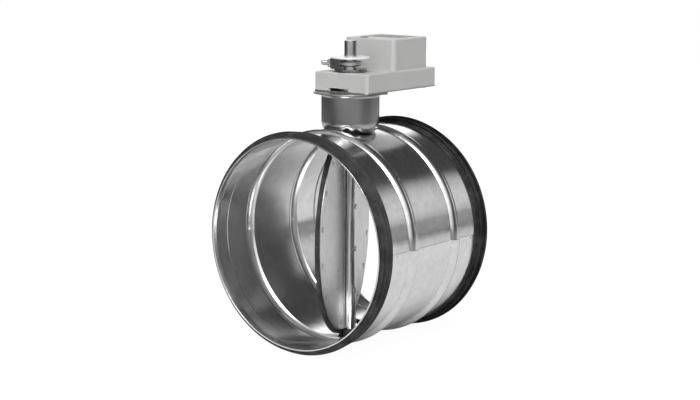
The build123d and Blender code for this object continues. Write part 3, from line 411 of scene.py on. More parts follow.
def moulded_rubber(name, tint):
    """Extruded EPDM rubber: matt black with a faint grey bloom, and dust in the grain.

    The dust is too fine to show, so it is drawn at 1 mm.
    """
    material, _, (bloom, dust) = start_material(
        name, tint, metallic=0.0, roughness=0.7,
        grains=[(14 * MM, 5.0, 0.65), (1.0 * MM, 2.0, 0.8)],
    )
    tree = material.node_tree
    film = add_node(tree, "ShaderNodeMix", {"data_type": "FLOAT"}, {0: 0.45, 2: bloom, 3: dust})
    amount = add_node(
        tree, "ShaderNodeMapRange", None,
        {"Value": film.outputs[0], "From Min": 0.46, "From Max": 0.63},
    )
    return finish_material(
        material, tint, amount.outputs[0], (0.5, 3.2), bump=(dust, 0.25, 0.1 * MM)
    )


def moulded_plastic(name, tint, roughness):
    """Injection-moulded plastic with the spark-eroded texture of its tool and faint flow clouds.

    The real texture is too fine to show, so it is drawn at 0.8 mm.
    """
    material, _, (spark, flow) = start_material(
        name, tint, metallic=0.0, roughness=roughness,
        grains=[(0.8 * MM, 2.0, 0.5), (40 * MM, 2.0, 0.5)],
    )
    return finish_material(material, tint, flow, (0.95, 1.05), bump=(spark, 0.1, 0.08 * MM))


def circuit_laminate(name, tint):
    """Lacquered glass-fibre laminate with its 0.6 mm weave just visible."""
    material, place, _ = start_material(name, tint, metallic=0.0, roughness=0.35)
    weave = add_node(
        material.node_tree, "ShaderNodeTexChecker", None,
        {"Vector": place, "Scale": per_metre(0.6 * MM)},
    )
    return finish_material(material, tint, weave.outputs["Fac"], (1.1, 0.9))


# Meshes


def cleaned(shape):
    """Merges doubled points, turns the faces outwards and returns a plain mesh."""
    bmesh.ops.remove_doubles(shape, verts=shape.verts, dist=1e-6)
    bmesh.ops.recalc_face_normals(shape, faces=shape.faces)
    mesh = bpy.data.meshes.new("shape")
    shape.to_mesh(mesh)
    shape.free()
    return mesh


def skinned(rings, closed=False, capped=False):
    """A mesh through rings of the same count of points, joined into a loop or with flat ends."""
    shape = bmesh.new()
    loops = [[shape.verts.new(point) for point in ring] for ring in rings]
    ahead = loops[1:] + (loops[:1] if closed else [])
    for low, high in zip(loops, ahead):
        for index in range(len(low)):
            after = (index + 1) % len(low)
            shape.faces.new((low[index], low[after], high[after], high[index]))
    if capped:
        shape.faces.new(list(reversed(loops[0])))
        shape.faces.new(loops[-1])
    return cleaned(shape)


def lathe(outline, turns, closed=True):
    """Turns an outline of (radius, height) points about Z, with a column at each given turn."""
    rings = [
        [(radius * math.cos(turn), radius * math.sin(turn), height) for turn in turns]
        for radius, height in outline
    ]
    return skinned(rings, closed)


def even_turns(count):
    """Equal steps round a full turn."""
    return [TURN * index / count for index in range(count)]


def rounded(corners, closed=True, steps=4):
    """Points of an outline from corners given as (across, along, rounding)."""
    points = []
    for index, (across, along, size) in enumerate(corners):
        here = Vector((across, along))
        if size == 0 or (not closed and index in (0, len(corners) - 1)):
            points.append(here)
            continue
        before = Vector(corners[index - 1][:2]) - here
        after = Vector(corners[(index + 1) % len(corners)][:2]) - here
        reach = size / math.tan(before.angle(after) / 2)
        reach = min(reach, before.length * 0.49, after.length * 0.49)
        start = here + before.normalized() * reach
        end = here + after.normalized() * reach
        for step in range(steps + 1):
            part = step / steps
            points.append(start * (1 - part) ** 2 + here * (2 * part * (1 - part)) + end * part**2)
    return points


def rectangle_ring(left, right, front, back, corner, steps=6):
    """Points of a rectangle with round corners, counter-clockwise."""
    points = []
    middles = [
        (right - corner, front + corner, -90), (right - corner, back - corner, 0),
        (left + corner, back - corner, 90), (left + corner, front + corner, 180),
    ]
    for x, y, start in middles:
        for step in range(steps + 1):
            turn = math.radians(start + 90 * step / steps)
            points.append((x + corner * math.cos(turn), y + corner * math.sin(turn)))
    return points


def moulded_box(left, right, front, back, low, high, corner, edge):
    """A box with round upright corners and a round edge along its top."""
    rings = [[(x, y, low) for x, y in rectangle_ring(left, right, front, back, corner)]]
    steps = 5
    for step in range(steps + 1):
        turn = math.radians(90 * step / steps)
        inset = edge * (1 - math.cos(turn))
        height = high - edge + edge * math.sin(turn)
        ring = rectangle_ring(
            left + inset, right - inset, front + inset, back - inset,
            max(corner - inset, corner / 3),
        )
        rings.append([(x, y, height) for x, y in ring])
    return skinned(rings, capped=True)


def placed(name, data):
    """A new object in the scene with the given mesh or other data."""
    thing = bpy.data.objects.new(name, data)
    bpy.context.scene.collection.objects.link(thing)
    return thing


def combined(mesh, tool, operation):
    """Joins two closed meshes, or cuts the second out of the first."""
    first, second = placed("first", mesh), placed("second", tool)
    modifier = first.modifiers.new("cut", "BOOLEAN")
    modifier.object = second
    modifier.operation = operation
    modifier.solver = "EXACT"
    return evaluated_mesh(first, second)


def evaluated_mesh(thing, *helpers):
    """The plain mesh that an object's modifiers make. It and its helpers are removed."""
    graph = bpy.context.evaluated_depsgraph_get()
    mesh = bpy.data.meshes.new_from_object(thing.evaluated_get(graph))
    for scratch in (thing, *helpers):
        bpy.data.objects.remove(scratch)
    return mesh


def merged_copy(node, edge=0.0):
    """A CAD node's mesh with its loose triangles merged, and its sharp edges eased if asked."""
    shape = bmesh.new()
    shape.from_mesh(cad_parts[node].data)
    bmesh.ops.remove_doubles(shape, verts=shape.verts, dist=2e-6)
    bmesh.ops.dissolve_limit(
        shape, angle_limit=math.radians(0.5), verts=shape.verts, edges=shape.edges
    )
    mesh = bpy.data.meshes.new(node)
    shape.to_mesh(mesh)
    shape.free()
    if not edge:
        return mesh
    holder = placed(node, mesh)
    bevel = holder.modifiers.new("eased", "BEVEL")
    bevel.width = edge
    bevel.segments = 2
    bevel.limit_method = "ANGLE"
    bevel.angle_limit = math.radians(40)
    return evaluated_mesh(holder)


def piece_from(name, mesh, material, body, nodes=(), sharp=32.0):
    """Makes a finished piece: smooth up to an angle, even normals, riding on its body."""
    mesh.polygons.foreach_set("use_smooth", [True] * len(mesh.polygons))
    mesh.set_sharp_from_angle(angle=math.radians(sharp))
    holder = placed(name, mesh)
    weights = holder.modifiers.new("weights", "WEIGHTED_NORMAL")
    weights.keep_sharp = True
    done = evaluated_mesh(holder)
    done.name = name
    done.materials.clear()
    done.materials.append(material)
    piece = placed(name, done)
    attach(piece, body)
    if nodes:
        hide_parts(*nodes)
    return piece


def dress(node, material):
    """Gives a CAD node that keeps its shape a better material."""
    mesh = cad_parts[node].data
    mesh.materials.clear()
    mesh.materials.append(material)


def hex_nut(flats, height, bore):
    """Hexagon nut along Z with chamfered corners, standing on the XY plane."""
    inner = flats / 2
    # each end is a round flat a little narrower than the nut, and a cone cuts the corners
    face, slope = inner * 0.97, math.tan(math.radians(30))
    columns = []
    for turn in even_turns(48):
        within = (turn + TURN / 12) % (TURN / 6) - TURN / 12
        corner = inner / math.cos(within)
        drop = (corner - inner) * slope
        places = [
            (bore, 0), (face, 0), (corner, drop),
            (corner, height - drop), (face, height), (bore, height),
        ]
        columns.append([
            (radius * math.cos(turn), radius * math.sin(turn), level) for radius, level in places
        ])
    return skinned(list(zip(*columns)), closed=True)


def dome_head(radius, height):
    """Low dome of a rivet or screw head, standing on the XY plane."""
    points = [(0, 0), (radius, 0)]
    steps = 6
    for step in range(1, steps + 1):
        turn = math.radians(90 * step / steps)
        points.append((radius * math.cos(turn), height * math.sin(turn)))
    return lathe(points, even_turns(20), closed=False)


# Geometry Nodes for what repeats


def start_tree(name, inputs):
    """A tree with an input for each name and kind given, and the sockets that they fill."""
    tree = bpy.data.node_groups.new(name, "GeometryNodeTree")
    sockets = tree.interface
    for label, kind in inputs.items():
        sockets.new_socket(label, in_out="INPUT", socket_type=f"NodeSocket{kind}")
    sockets.new_socket("Geometry", in_out="OUTPUT", socket_type="NodeSocketGeometry")
    return tree, add_node(tree, "NodeGroupInput").outputs


def row_tree():
    """Copies of one piece along a straight line."""
    tree, given = start_tree("Pieces in a row", {
        "Piece": "Object", "Count": "Int", "Start": "Vector", "Step": "Vector",
        "Material": "Material",
    })
    line = add_node(
        tree, "GeometryNodeMeshLine", {"mode": "OFFSET"},
        {"Count": given["Count"], "Start Location": given["Start"], "Offset": given["Step"]},
    )
    return finish_tree(tree, given, line.outputs[0])


def ring_tree():
    """Copies of one piece round a circle, each turned to face outwards."""
    tree, given = start_tree("Pieces in a ring", {
        "Piece": "Object", "Count": "Int", "Radius": "Float", "Material": "Material",
    })
    circle = add_node(
        tree, "GeometryNodeMeshCircle", None,
        {"Vertices": given["Count"], "Radius": given["Radius"]},
    )
    index = add_node(tree, "GeometryNodeInputIndex")
    share = add_node(
        tree, "ShaderNodeMath", {"operation": "DIVIDE"}, {0: index.outputs[0], 1: given["Count"]}
    )
    turn = add_node(
        tree, "ShaderNodeMath", {"operation": "MULTIPLY"}, {0: share.outputs[0], 1: TURN}
    )
    facing = add_node(tree, "ShaderNodeCombineXYZ", None, {"Z": turn.outputs[0]})
    return finish_tree(tree, given, circle.outputs[0], facing.outputs[0])


def finish_tree(tree, given, points, facing=None):
    """Puts the piece on the points, makes it real and gives it its material."""
    source = add_node(tree, "GeometryNodeObjectInfo", None, {"Object": given["Piece"]})
    copies = add_node(
        tree, "GeometryNodeInstanceOnPoints", None,
        {"Points": points, "Instance": source.outputs["Geometry"]},
    )
    if facing:
        tree.links.new(facing, copies.inputs["Rotation"])
    real = add_node(tree, "GeometryNodeRealizeInstances", None, {"Geometry": copies.outputs[0]})
    painted = add_node(
        tree, "GeometryNodeSetMaterial", None,
        {"Geometry": real.outputs[0], "Material": given["Material"]},
    )
    add_node(tree, "NodeGroupOutput", None, {"Geometry": painted.outputs[0]})
    return tree


def grown(tree, pattern, values, place):
    """Runs a tree with one piece as its pattern and returns the plain mesh, put in its place."""
    source = placed("pattern", pattern)
    holder = placed("holder", bpy.data.meshes.new("holder"))
    modifier = holder.modifiers.new("copies", "NODES")
    modifier.node_group = tree
    values = dict(values, Piece=source)
    for item in tree.interface.items_tree:
        if item.in_out == "INPUT" and item.name in values:
            modifier[item.identifier] = values[item.name]
    mesh = evaluated_mesh(holder, source)
    mesh.transform(place)
    return mesh


# Tube and seals

ALONG_Y = Matrix.Rotation(math.radians(-90), 4, "X")


def bead_lift(sizes, along):
    """Height of the rolled beads at a place along the tube: a half round with steep feet."""
    off = abs(abs(along) - sizes.bead_place) / sizes.bead_half
    if off >= 1:
        return 0.0
    return sizes.bead_height * (1 - off**2) ** 0.85


def tube_side(sizes, rise):
    """Corners of the tube's outside from near end to far end, drawn out or in by a rise."""
    seat = sizes.radius - sizes.seat_drop + rise
    level = sizes.radius + rise
    shoulder = DUCT_BOX[1].y - sizes.seat_length
    slope = shoulder - sizes.seat_slope
    soft = 1.0 * MM
    # rings on the plain sheet: two beside each step and six between the beads
    places = [-slope + 3 * MM, -slope + 6 * MM, slope - 6 * MM, slope - 3 * MM]
    places += [sizes.bead_half * share for share in (-3, -1.8, -0.6, 0.6, 1.8, 3)]
    steps = 26
    for middle in (-sizes.bead_place, sizes.bead_place):
        for step in range(-steps, steps + 1):
            places.append(middle + sizes.bead_half * math.sin(math.radians(90) * step / steps))
    side = [(seat, -shoulder, soft), (level, -slope, soft)]
    side += [(level + bead_lift(sizes, along), along, 0) for along in sorted(places)]
    return side + [(level, slope, soft), (seat, shoulder, soft)]


def tube_outline(sizes):
    """Closed outline of the tube's wall with its turned-out rims."""
    half = DUCT_BOX[1].y
    seat = sizes.radius - sizes.seat_drop
    rim = seat + sizes.rim_rise
    bore = seat - sizes.wall
    mouth = bore + sizes.mouth_flare
    crest = sizes.mouth_crest
    edge, crease, soft = 0.35 * MM, 0.1 * MM, 1.0 * MM
    far = [
        (seat, half - sizes.rim_thick, crease), (rim, half - sizes.rim_thick, edge),
        (rim, half, edge), (mouth, half, edge),
        (bore - sizes.crest_rise, half - crest, soft), (bore, half - 2 * crest, soft),
    ]
    near = [(radius, -along, size) for radius, along, size in reversed(far)]
    inner = list(reversed(tube_side(sizes, -sizes.wall)))
    return rounded(near[2:] + tube_side(sizes, 0) + far + inner + near[:2])


def tube_turns(sizes):
    """Columns round the tube: even ones, and close ones at the seam's edges."""
    # heights of the close columns in millimetres, which the even ones keep clear of
    fine = [-20, -14, -9, -6, -5.3, -5.1, -4, -2, -0.6, -0.28, -0.12, 0.2, 1, 3, 6, 10, 15]
    near_seam = math.radians(12.5)
    turns = set()
    for turn in even_turns(288):
        folded = min(turn % math.pi, math.pi - turn % math.pi)
        if folded > near_seam:
            turns.add(round(turn, 6))
    for height in fine:
        turn = math.asin(height * MM / sizes.radius)
        turns.add(round(-turn % TURN, 6))
        turns.add(round((math.pi + turn) % TURN, 6))
    return sorted(turns)


def lap_seam(mesh, sizes):
    """Lifts the outer sheet and lowers the inner one where they lap at the seam."""
    middle = sizes.radius - sizes.wall / 2
    reach = DUCT_BOX[1].y - sizes.seat_length - sizes.seat_slope - 2 * MM
    zone, fade_length = 60 * MM, 4 * MM
    rise, blend = sizes.lap_rise, sizes.lap_blend
    for vertex in mesh.vertices:
        x, y, z = vertex.co
        if abs(y) > reach or abs(z) > zone:
            continue
        fade = min(1.0, (reach - abs(y)) / fade_length)
        radius = math.hypot(x, z)
        lift = 0.0
        if radius > middle + bead_lift(sizes, y):
            over = z - sizes.lap_top
            if over < 0:
                lift = rise * math.exp(-((over / blend) ** 2))
            else:
                # above the outer sheet's edge the tube draws in a little and comes back
                fall = 1 - math.exp(-over / (0.4 * blend))
                lift = -1.2 * rise * fall * math.exp(-((over / (2 * blend)) ** 2))
        elif z > sizes.lap_low:
            lift = -rise * math.exp(-(((z - sizes.lap_low) / blend) ** 2))
        scale = (radius + lift * fade) / radius
        vertex.co = (x * scale, y, z * scale)


def seal_outline(sizes, end):
    """Outline of a rubber ring with two leaning lips, at the near (-1) or far (1) end.

    The outer lip is grooved.
    """
    half = DUCT_BOX[1].y
    seat = sizes.radius - sizes.seat_drop
    foot = seat + 1.7 * MM
    outer = seat + sizes.lip_rise
    inner = outer - 1.0 * MM
    # radius, then depth from the tube's end and rounding in millimetres
    corners = [
        (seat, 1.1, 0), (foot, 1.1, 0.5),
        (foot, 2.4, 0.4), (foot + 3.3 * MM, 3.0, 0.4), (foot + 0.9 * MM, 5.0, 0.2),
        (outer, 6.8, 0.4), (outer, 7.8, 0.4), (foot, 5.6, 0.6),
        (foot, 10.0, 0.4), (inner, 14.4, 0.4), (inner, 15.4, 0.4), (foot, 13.2, 0.6),
        (seat + 0.9 * MM, 19.0, 0.4), (seat, 19.0, 0),
    ]
    outline = rounded([(radius, depth * MM, size * MM) for radius, depth, size in corners])
    return [(radius, end * (half - depth)) for radius, depth in outline]


def build_tube(sizes):
    """Tube with beads, seats, rims, lapped seams and their spot welds."""
    sheet = galvanised_steel("Galvanised sheet, rolled", sizes.sheet, roughness=0.18)
    mesh = lathe(tube_outline(sizes), tube_turns(sizes))
    mesh.transform(ALONG_Y)
    lap_seam(mesh, sizes)
    piece_from("tube_wall", mesh, sheet, "duct", ("duct_shell",))
    weld_height, weld_seat, first, step = 0.22 * MM, 0.36 * MM, -58.5 * MM, 39 * MM
    weld = dome_head(sizes.weld_radius, weld_height)
    middle = (sizes.lap_low + sizes.lap_top) / 2
    for side, name in ((1, "seam_welds_right"), (-1, "seam_welds_left")):
        turn = Matrix.Rotation(math.radians(90 * side), 4, "Y")
        values = {
            "Count": 4, "Start": (-side * middle, first, sizes.radius + weld_seat),
            "Step": (0, step, 0), "Material": sheet,
        }
        welds = piece_from(name, grown(row_tree(), weld.copy(), values, turn), sheet, "duct")


def build_seals(sizes):
    """Rubber lip rings at both ends."""
    rubber = moulded_rubber("EPDM rubber, extruded", sizes.rubber)
    for end, node in ((-1, "front_seal"), (1, "rear_seal")):
        mesh = lathe(seal_outline(sizes, end), even_turns(240))
        mesh.transform(ALONG_Y)
        piece_from(f"{node}_lips", mesh, rubber, "duct", (node,))
    dress("saddle_gasket", rubber)
    for name, node in (("blade_rubber_ring", "blade_gasket"), ("spindle_v_ring", "spindle_seal")):
        piece_from(name, merged_copy(node), rubber, "blade", (node,))


# Blade and spindle


def blade_place(turn):
    """Where the blade's own axes lie: across, up, and towards the spindle."""
    across = Vector((-math.sin(turn), math.cos(turn), 0))
    up = Vector((0, 0, 1))
    facing = Vector((math.cos(turn), math.sin(turn), 0))
    return Matrix((across, up, facing)).transposed().to_4x4()


def spread(middle, half, steps):
    """Even places to both sides of a middle."""
    return {round(middle + half * step / steps, 7) for step in range(-steps, steps + 1)}


def disc_sheet(radius, wall, face_depth, trough, crease=(0, 0)):
    """A round sheet whose face dips into a trough between two creases, or stays flat."""
    quarter, dense_half = math.radians(90), 9 * MM
    crease_half, crease_depth = crease
    edge = math.sqrt(max(trough**2 - face_depth**2, 0)) + wall + crease_half
    # columns across the disc: closer towards its rim, over the trough and over the creases
    columns = {round(radius * math.sin(quarter * step / 40), 7) for step in range(-40, 41)}
    columns |= spread(0, dense_half, 24)
    if crease_half:
        columns |= spread(-edge, crease_half, 4) | spread(edge, crease_half, 4)
    columns = sorted(columns)
    rows = 28

    def depth(across, extra):
        flat = -face_depth - extra
        if crease_half:
            flat += crease_depth * max(0.0, 1 - ((abs(across) - edge) / crease_half) ** 2)
        inside = (trough + extra) ** 2 - across**2
        if trough and inside > 0:
            return min(flat, -math.sqrt(inside))
        return flat

    shape = bmesh.new()
    layers = []
    for extra in (0.0, wall):
        layer = []
        for across in columns:
            tall = math.sqrt(max(radius**2 - across**2, 0))
            level = depth(across, extra)
            heights = [tall * math.sin(quarter * (2 * row / rows - 1)) for row in range(rows + 1)]
            layer.append([shape.verts.new((across, height, level)) for height in heights])
        layers.append(layer)
    for layer in layers:
        for left, right in zip(layer, layer[1:]):
            for row in range(rows):
                shape.faces.new((left[row], right[row], right[row + 1], left[row + 1]))
    front, rear = layers
    for row in (0, rows):
        for index in range(len(columns) - 1):
            near, far = front[index:index + 2], rear[index:index + 2]
            shape.faces.new((near[0][row], near[1][row], far[1][row], far[0][row]))
    for near, far in ((front[0], rear[0]), (front[-1], rear[-1])):
        for row in range(rows):
            shape.faces.new((near[row], near[row + 1], far[row + 1], far[row]))
    return cleaned(shape)


def build_blade(sizes):
    """Two discs, rivets round the rim, screws through the spindle and their nuts."""
    sheet = galvanised_steel("Galvanised sheet, flat blade", sizes.sheet, roughness=0.3)
    plated = bpy.data.materials["Zinc-plated steel"]
    place = blade_place(sizes.turn)
    front = disc_sheet(
        sizes.disc_radius, sizes.sheet_wall, sizes.front, SPINDLE_BOX[1].x + sizes.trough_fit,
        (sizes.crease_half, sizes.crease_depth),
    )
    front.transform(place)
    piece_from("blade_disc_front", front, sheet, "blade", ("blade_front",), sharp=50.0)
    rear = disc_sheet(sizes.disc_radius, sizes.sheet_wall, sizes.back - sizes.sheet_wall, 0)
    rear.transform(place)
    piece_from("blade_disc_rear", rear, sheet, "blade", ("blade_rear",), sharp=50.0)

    half_step = Matrix.Rotation(math.pi / sizes.rivets, 4, "Z")
    over = Matrix.Rotation(math.pi, 4, "X")
    ring = {
        "Count": sizes.rivets, "Radius": sizes.disc_radius - sizes.rivet_inset,
        "Material": plated,
    }
    head = dome_head(sizes.rivet_radius, sizes.rivet_height)
    on_front = place @ Matrix.Translation((0, 0, -sizes.front)) @ half_step
    on_rear = place @ Matrix.Translation((0, 0, -sizes.back)) @ over @ half_step
    fronts = grown(ring_tree(), head.copy(), ring, on_front)
    piece_from("blade_rivets_front", fronts, plated, "blade", ("blade_rivets",))
    rears = grown(ring_tree(), head.copy(), ring, on_rear)
    rears = piece_from("blade_rivets_rear", rears, plated, "blade")

    row = {
        "Count": sizes.screws, "Start": (0, sizes.screw_lowest, sizes.screw_seat),
        "Step": (0, sizes.screw_step, 0), "Material": plated,
    }
    screws = grown(row_tree(), dome_head(sizes.screw_radius, sizes.screw_height), row, place)
    piece_from("blade_screw_heads", screws, plated, "blade", ("blade_screws",))
    nut = hex_nut(sizes.nut_flats, sizes.nut_height, sizes.tail_radius)
    nut_level = -sizes.back - sizes.nut_height
    row["Start"] = (0, sizes.screw_lowest, nut_level)
    nuts = grown(row_tree(), nut, row, place)
    piece_from("blade_nuts_row", nuts, plated, "blade", ("blade_nuts",))
    tail = dome_head(sizes.tail_radius, sizes.tail_height)
    tail.transform(over)
    tail_sink = 0.2 * MM
    row["Start"] = (0, sizes.screw_lowest, nut_level + tail_sink)
    tails = piece_from("blade_screw_tails", grown(row_tree(), tail, row, place), plated, "blade")


def build_spindle(sizes):
    """Round bar with chamfered ends, and its spring clip."""
    bar = drawn_steel("Drawn steel bar", sizes.bar, streak=1.5 * MM, roughness=0.18)
    radius = SPINDLE_BOX[1].x
    low, high = SPINDLE_BOX[0].z, SPINDLE_BOX[1].z
    chamfer, sharp, soft = 0.8 * MM, 0.1 * MM, 0.2 * MM
    corners = [
        (0, low, 0), (radius - chamfer, low, sharp), (radius, low + chamfer, soft),
        (radius, high - chamfer, soft), (radius - chamfer, high, sharp), (0, high, 0),
    ]
    mesh = lathe(rounded(corners, closed=False, steps=2), even_turns(64), closed=False)
    piece_from("spindle_bar", mesh, bar, "blade", ("spindle",))
    dress("spindle_clip", bpy.data.materials["Spring steel"])


# Cup and actuator


def build_cup(sizes):
    """Deep-drawn cup with a rounded bottom and a flange, and the lid inside it."""
    steel = drawn_steel("Deep-drawn steel", sizes.cup, streak=1.6 * MM, roughness=0.24)
    low, high = CUP_BOX[0].z, CUP_BOX[1].z
    flange = CUP_BOX[1].x
    wall, outer, hole = sizes.cup_wall, sizes.cup_radius, sizes.cup_hole
    corner, bend, edge = sizes.cup_corner, sizes.cup_bend, 0.3 * MM
    inner = outer - wall
    corners = [
        (hole, low, 0), (outer, low, corner), (outer, high - wall, bend),
        (flange, high - wall, edge), (flange, high, edge), (inner, high, bend + wall),
        (inner, low + wall, corner - wall), (hole, low + wall, 0),
    ]
    mesh = lathe(rounded(corners, steps=8), even_turns(240))
    tube_radius = bpy.context.scene.damper_tube.radius
    arch_turns, arch_spread = (-59.5, -37.5), 6.0
    for vertex in mesh.vertices:
        x, y, z = vertex.co
        height = (z - low) / corner
        if height > 1 or math.hypot(x, y) < outer - corner:
            continue
        turn = math.degrees(math.atan2(y, x))
        rise = sum(
            sizes.arch_rise * math.exp(-(((turn - middle) / arch_spread) ** 2))
            for middle in arch_turns
        )
        # the foot follows the round tube down at both sides
        drop = tube_radius - math.sqrt(tube_radius**2 - x * x)
        vertex.co.z += (rise - drop) * (1 - height)
    piece_from("cup_shell", mesh, steel, "duct", ("actuator_collar",))
    rim, under = inner + bend, high - sizes.lid_wall
    ring = [(sizes.lid_hole, under), (rim, under), (rim, high), (sizes.lid_hole, high)]
    lid = piece_from("cup_lid", lathe(ring, even_turns(96)), steel, "duct")


def field_middle(sizes):
    """Middle of the sunk field on the raised box's top."""
    box_middle = (sizes.box_front + sizes.box_back) / 2
    return Vector((sizes.slot_middle, box_middle + sizes.field_shift))


def hole_tool(middle, radius, low, high, columns):
    """A round bar along Z that cuts a hole."""
    ends = [(0, low), (radius, low), (radius, high), (0, high)]
    bar = lathe(ends, even_turns(columns), closed=False)
    bar.transform(Matrix.Translation((middle[0], middle[1], 0)))
    return bar


def case_mesh(sizes):
    """Hollow moulded case: low base, raised box, strap slot, sunk field and openings."""
    low, high = CASE_BOX
    top = low.z + sizes.base_height
    wall, past, crisp = sizes.wall, 1 * MM, 0.2 * MM
    base = moulded_box(
        low.x, high.x, low.y, high.y, low.z, top, sizes.base_corner, sizes.edge
    )
    box = moulded_box(
        low.x, sizes.box_right, sizes.box_front, sizes.box_back, low.z + past, high.z,
        sizes.box_corner, sizes.edge,
    )
    case = combined(base, box, "UNION")
    left = sizes.slot_middle - sizes.slot_width / 2
    middle = field_middle(sizes)
    across, along = sizes.field_width / 2, sizes.field_length / 2
    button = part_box("release_button")
    cuts = (
        moulded_box(
            low.x + wall, high.x - wall, low.y + wall, high.y - wall, low.z - past, top - wall,
            sizes.base_corner - wall, crisp,
        ),
        moulded_box(
            low.x + wall, sizes.box_right - wall, sizes.box_front + wall, sizes.box_back - wall,
            low.z - 2 * past, high.z - wall, sizes.box_corner - wall, crisp,
        ),
        moulded_box(
            left, left + sizes.slot_width, low.y - 2 * past, low.y + 2 * wall, low.z - past,
            low.z + sizes.slot_height, crisp, crisp,
        ),
        moulded_box(
            middle.x - across, middle.x + across, middle.y - along, middle.y + along,
            high.z - sizes.field_depth, high.z + 3 * past, 1.0 * MM, crisp,
        ),
        hole_tool(
            (button[0] + button[1]) / 2, sizes.button_hole, high.z - 2 * wall, high.z + past,
            columns=40,
        ),
        hole_tool((0, 0), sizes.journal_radius, top - 2 * wall, top + past, columns=64),
    )
    for cut in cuts:
        case = combined(case, cut, "DIFFERENCE")
    return case


def build_case(sizes):
    """Moulded case, its base plate, release button and cable gland."""
    plastic = moulded_plastic("ABS, moulded light grey", sizes.plastic, roughness=0.45)
    dark = moulded_plastic("Polyamide, moulded dark", linear("#2c2d2f"), roughness=0.6)
    plated = bpy.data.materials["Zinc-plated steel"]
    piece_from("housing_shell", case_mesh(sizes), plastic, "duct", ("actuator_housing",))
    plate = merged_copy("base_plate", edge=0.25 * MM)
    piece_from("housing_plate", plate, plated, "duct", ("base_plate",))
    blank = plated_steel("Aluminium, satin anodised", linear("#9a9c9e"), roughness=0.45)
    middle = field_middle(sizes)
    across = sizes.field_width / 2 - sizes.plate_gap
    back = middle.y + sizes.field_length / 2 - sizes.plate_gap
    floor = CASE_BOX[1].z - sizes.field_depth
    sunk, proud, corner, edge = 0.05 * MM, 0.35 * MM, 1.0 * MM, 0.12 * MM
    field_plate = moulded_box(
        middle.x - across, middle.x + across, back - sizes.plate_length, back,
        floor - sunk, floor + proud, corner, edge,
    )
    piece_from("housing_blank_plate", field_plate, blank, "duct")
    low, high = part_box("release_button")
    middle = (low + high) / 2
    radius, stem = sizes.button_radius, 1.5 * MM
    head, dish, rim = high.z - 5 * MM, high.z - 2.2 * MM, 0.5 * MM
    corners = [
        (0, low.z, 0), (stem, low.z, 0), (stem, head, 0), (radius, head, 0),
        (radius, high.z, 0.25 * MM), (radius - rim, high.z, 0.15 * MM),
        (radius - rim - 0.1 * MM, dish, 0.3 * MM), (0, dish, 0),
    ]
    button = lathe(rounded(corners, closed=False), even_turns(40), closed=False)
    button.transform(Matrix.Translation((middle.x, middle.y, 0)))
    piece_from("release_button_cap", button, dark, "button", ("release_button",))
    gland = merged_copy("cable_gland", edge=0.3 * MM)
    piece_from("cable_gland_body", gland, dark, "duct", ("cable_gland",))


def build_inner_parts():
    """Materials for the pieces that keep their CAD shape, the leaf spring and the bushes."""
    plated = bpy.data.materials["Zinc-plated steel"]
    spring = bpy.data.materials["Spring steel"]
    dark = bpy.data.materials["Polyamide, moulded dark"]
    finishes = (
        (plated, "collar_rivets", "flange_screws", "plate_screws", "gear_plate", "gear_posts"),
        (plated, "gear_axles", "motor", "motor_screws"),
        (spring, "bearing_retainers"),
        (moulded_plastic("Acetal, moulded white", linear("#e2ded6"), roughness=0.35),
         "first_gear", "second_gear"),
        (plated_steel("Brass, turned", linear("#c6a154"), roughness=0.25), "motor_pinion"),
        (circuit_laminate("Circuit board laminate", linear("#2c5a38")), "circuit_board"),
        (dark, "board_parts"),
    )
    for material, *nodes in finishes:
        for node in nodes:
            dress(node, material)
    leaf = merged_copy("release_spring", edge=0.1 * MM)
    leaf = piece_from("release_spring_leaf", leaf, spring, "duct", ("release_spring",))
    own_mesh(leaf)
    for node in ("upper_bearing", "lower_bearing"):
        bush = merged_copy(node, edge=0.3 * MM)
        piece_from(f"{node}_bush", bush, dark, "duct", (node,))


# Clamp


def bolt_path(sizes):
    """Middle points and directions along the U-bolt, from one tip to the other."""
    bend, reach = sizes.bolt_bend, sizes.bolt_reach
    steps = int(reach / (sizes.thread_pitch / 4))
    distances = [reach * step / steps for step in range(steps + 1)]
    places = [
        (Vector((reach - along, -bend, 0)), Vector((-1, 0, 0)), reach - along)
        for along in distances
    ]
    bend_steps = 24
    for step in range(1, bend_steps):
        turn = math.radians(-90 - 180 * step / bend_steps)
        point = Vector((bend * math.cos(turn), bend * math.sin(turn), 0))
        places.append((point, Vector((math.sin(turn), -math.cos(turn), 0)), 0))
    places += [(Vector((along, bend, 0)), Vector((1, 0, 0)), along) for along in distances]
    return places


def u_bolt(sizes):
    """Round bar bent round the spindle, its two legs threaded."""
    up = Vector((0, 0, 1))
    tip = 0.5 * MM
    rings = []
    for point, ahead, along in bolt_path(sizes):
        radius = sizes.bolt_radius
        if along > sizes.thread_start:
            wave = math.cos(TURN * along / sizes.thread_pitch)
            radius -= sizes.thread_depth * (0.5 - 0.5 * wave)
        if along > sizes.bolt_reach - tip:
            radius -= sizes.thread_depth
        side = ahead.cross(up)
        rings.append([
            point + side * (radius * math.cos(turn)) + up * (radius * math.sin(turn))
            for turn in even_turns(16)
        ])
    return skinned(rings, capped=True)


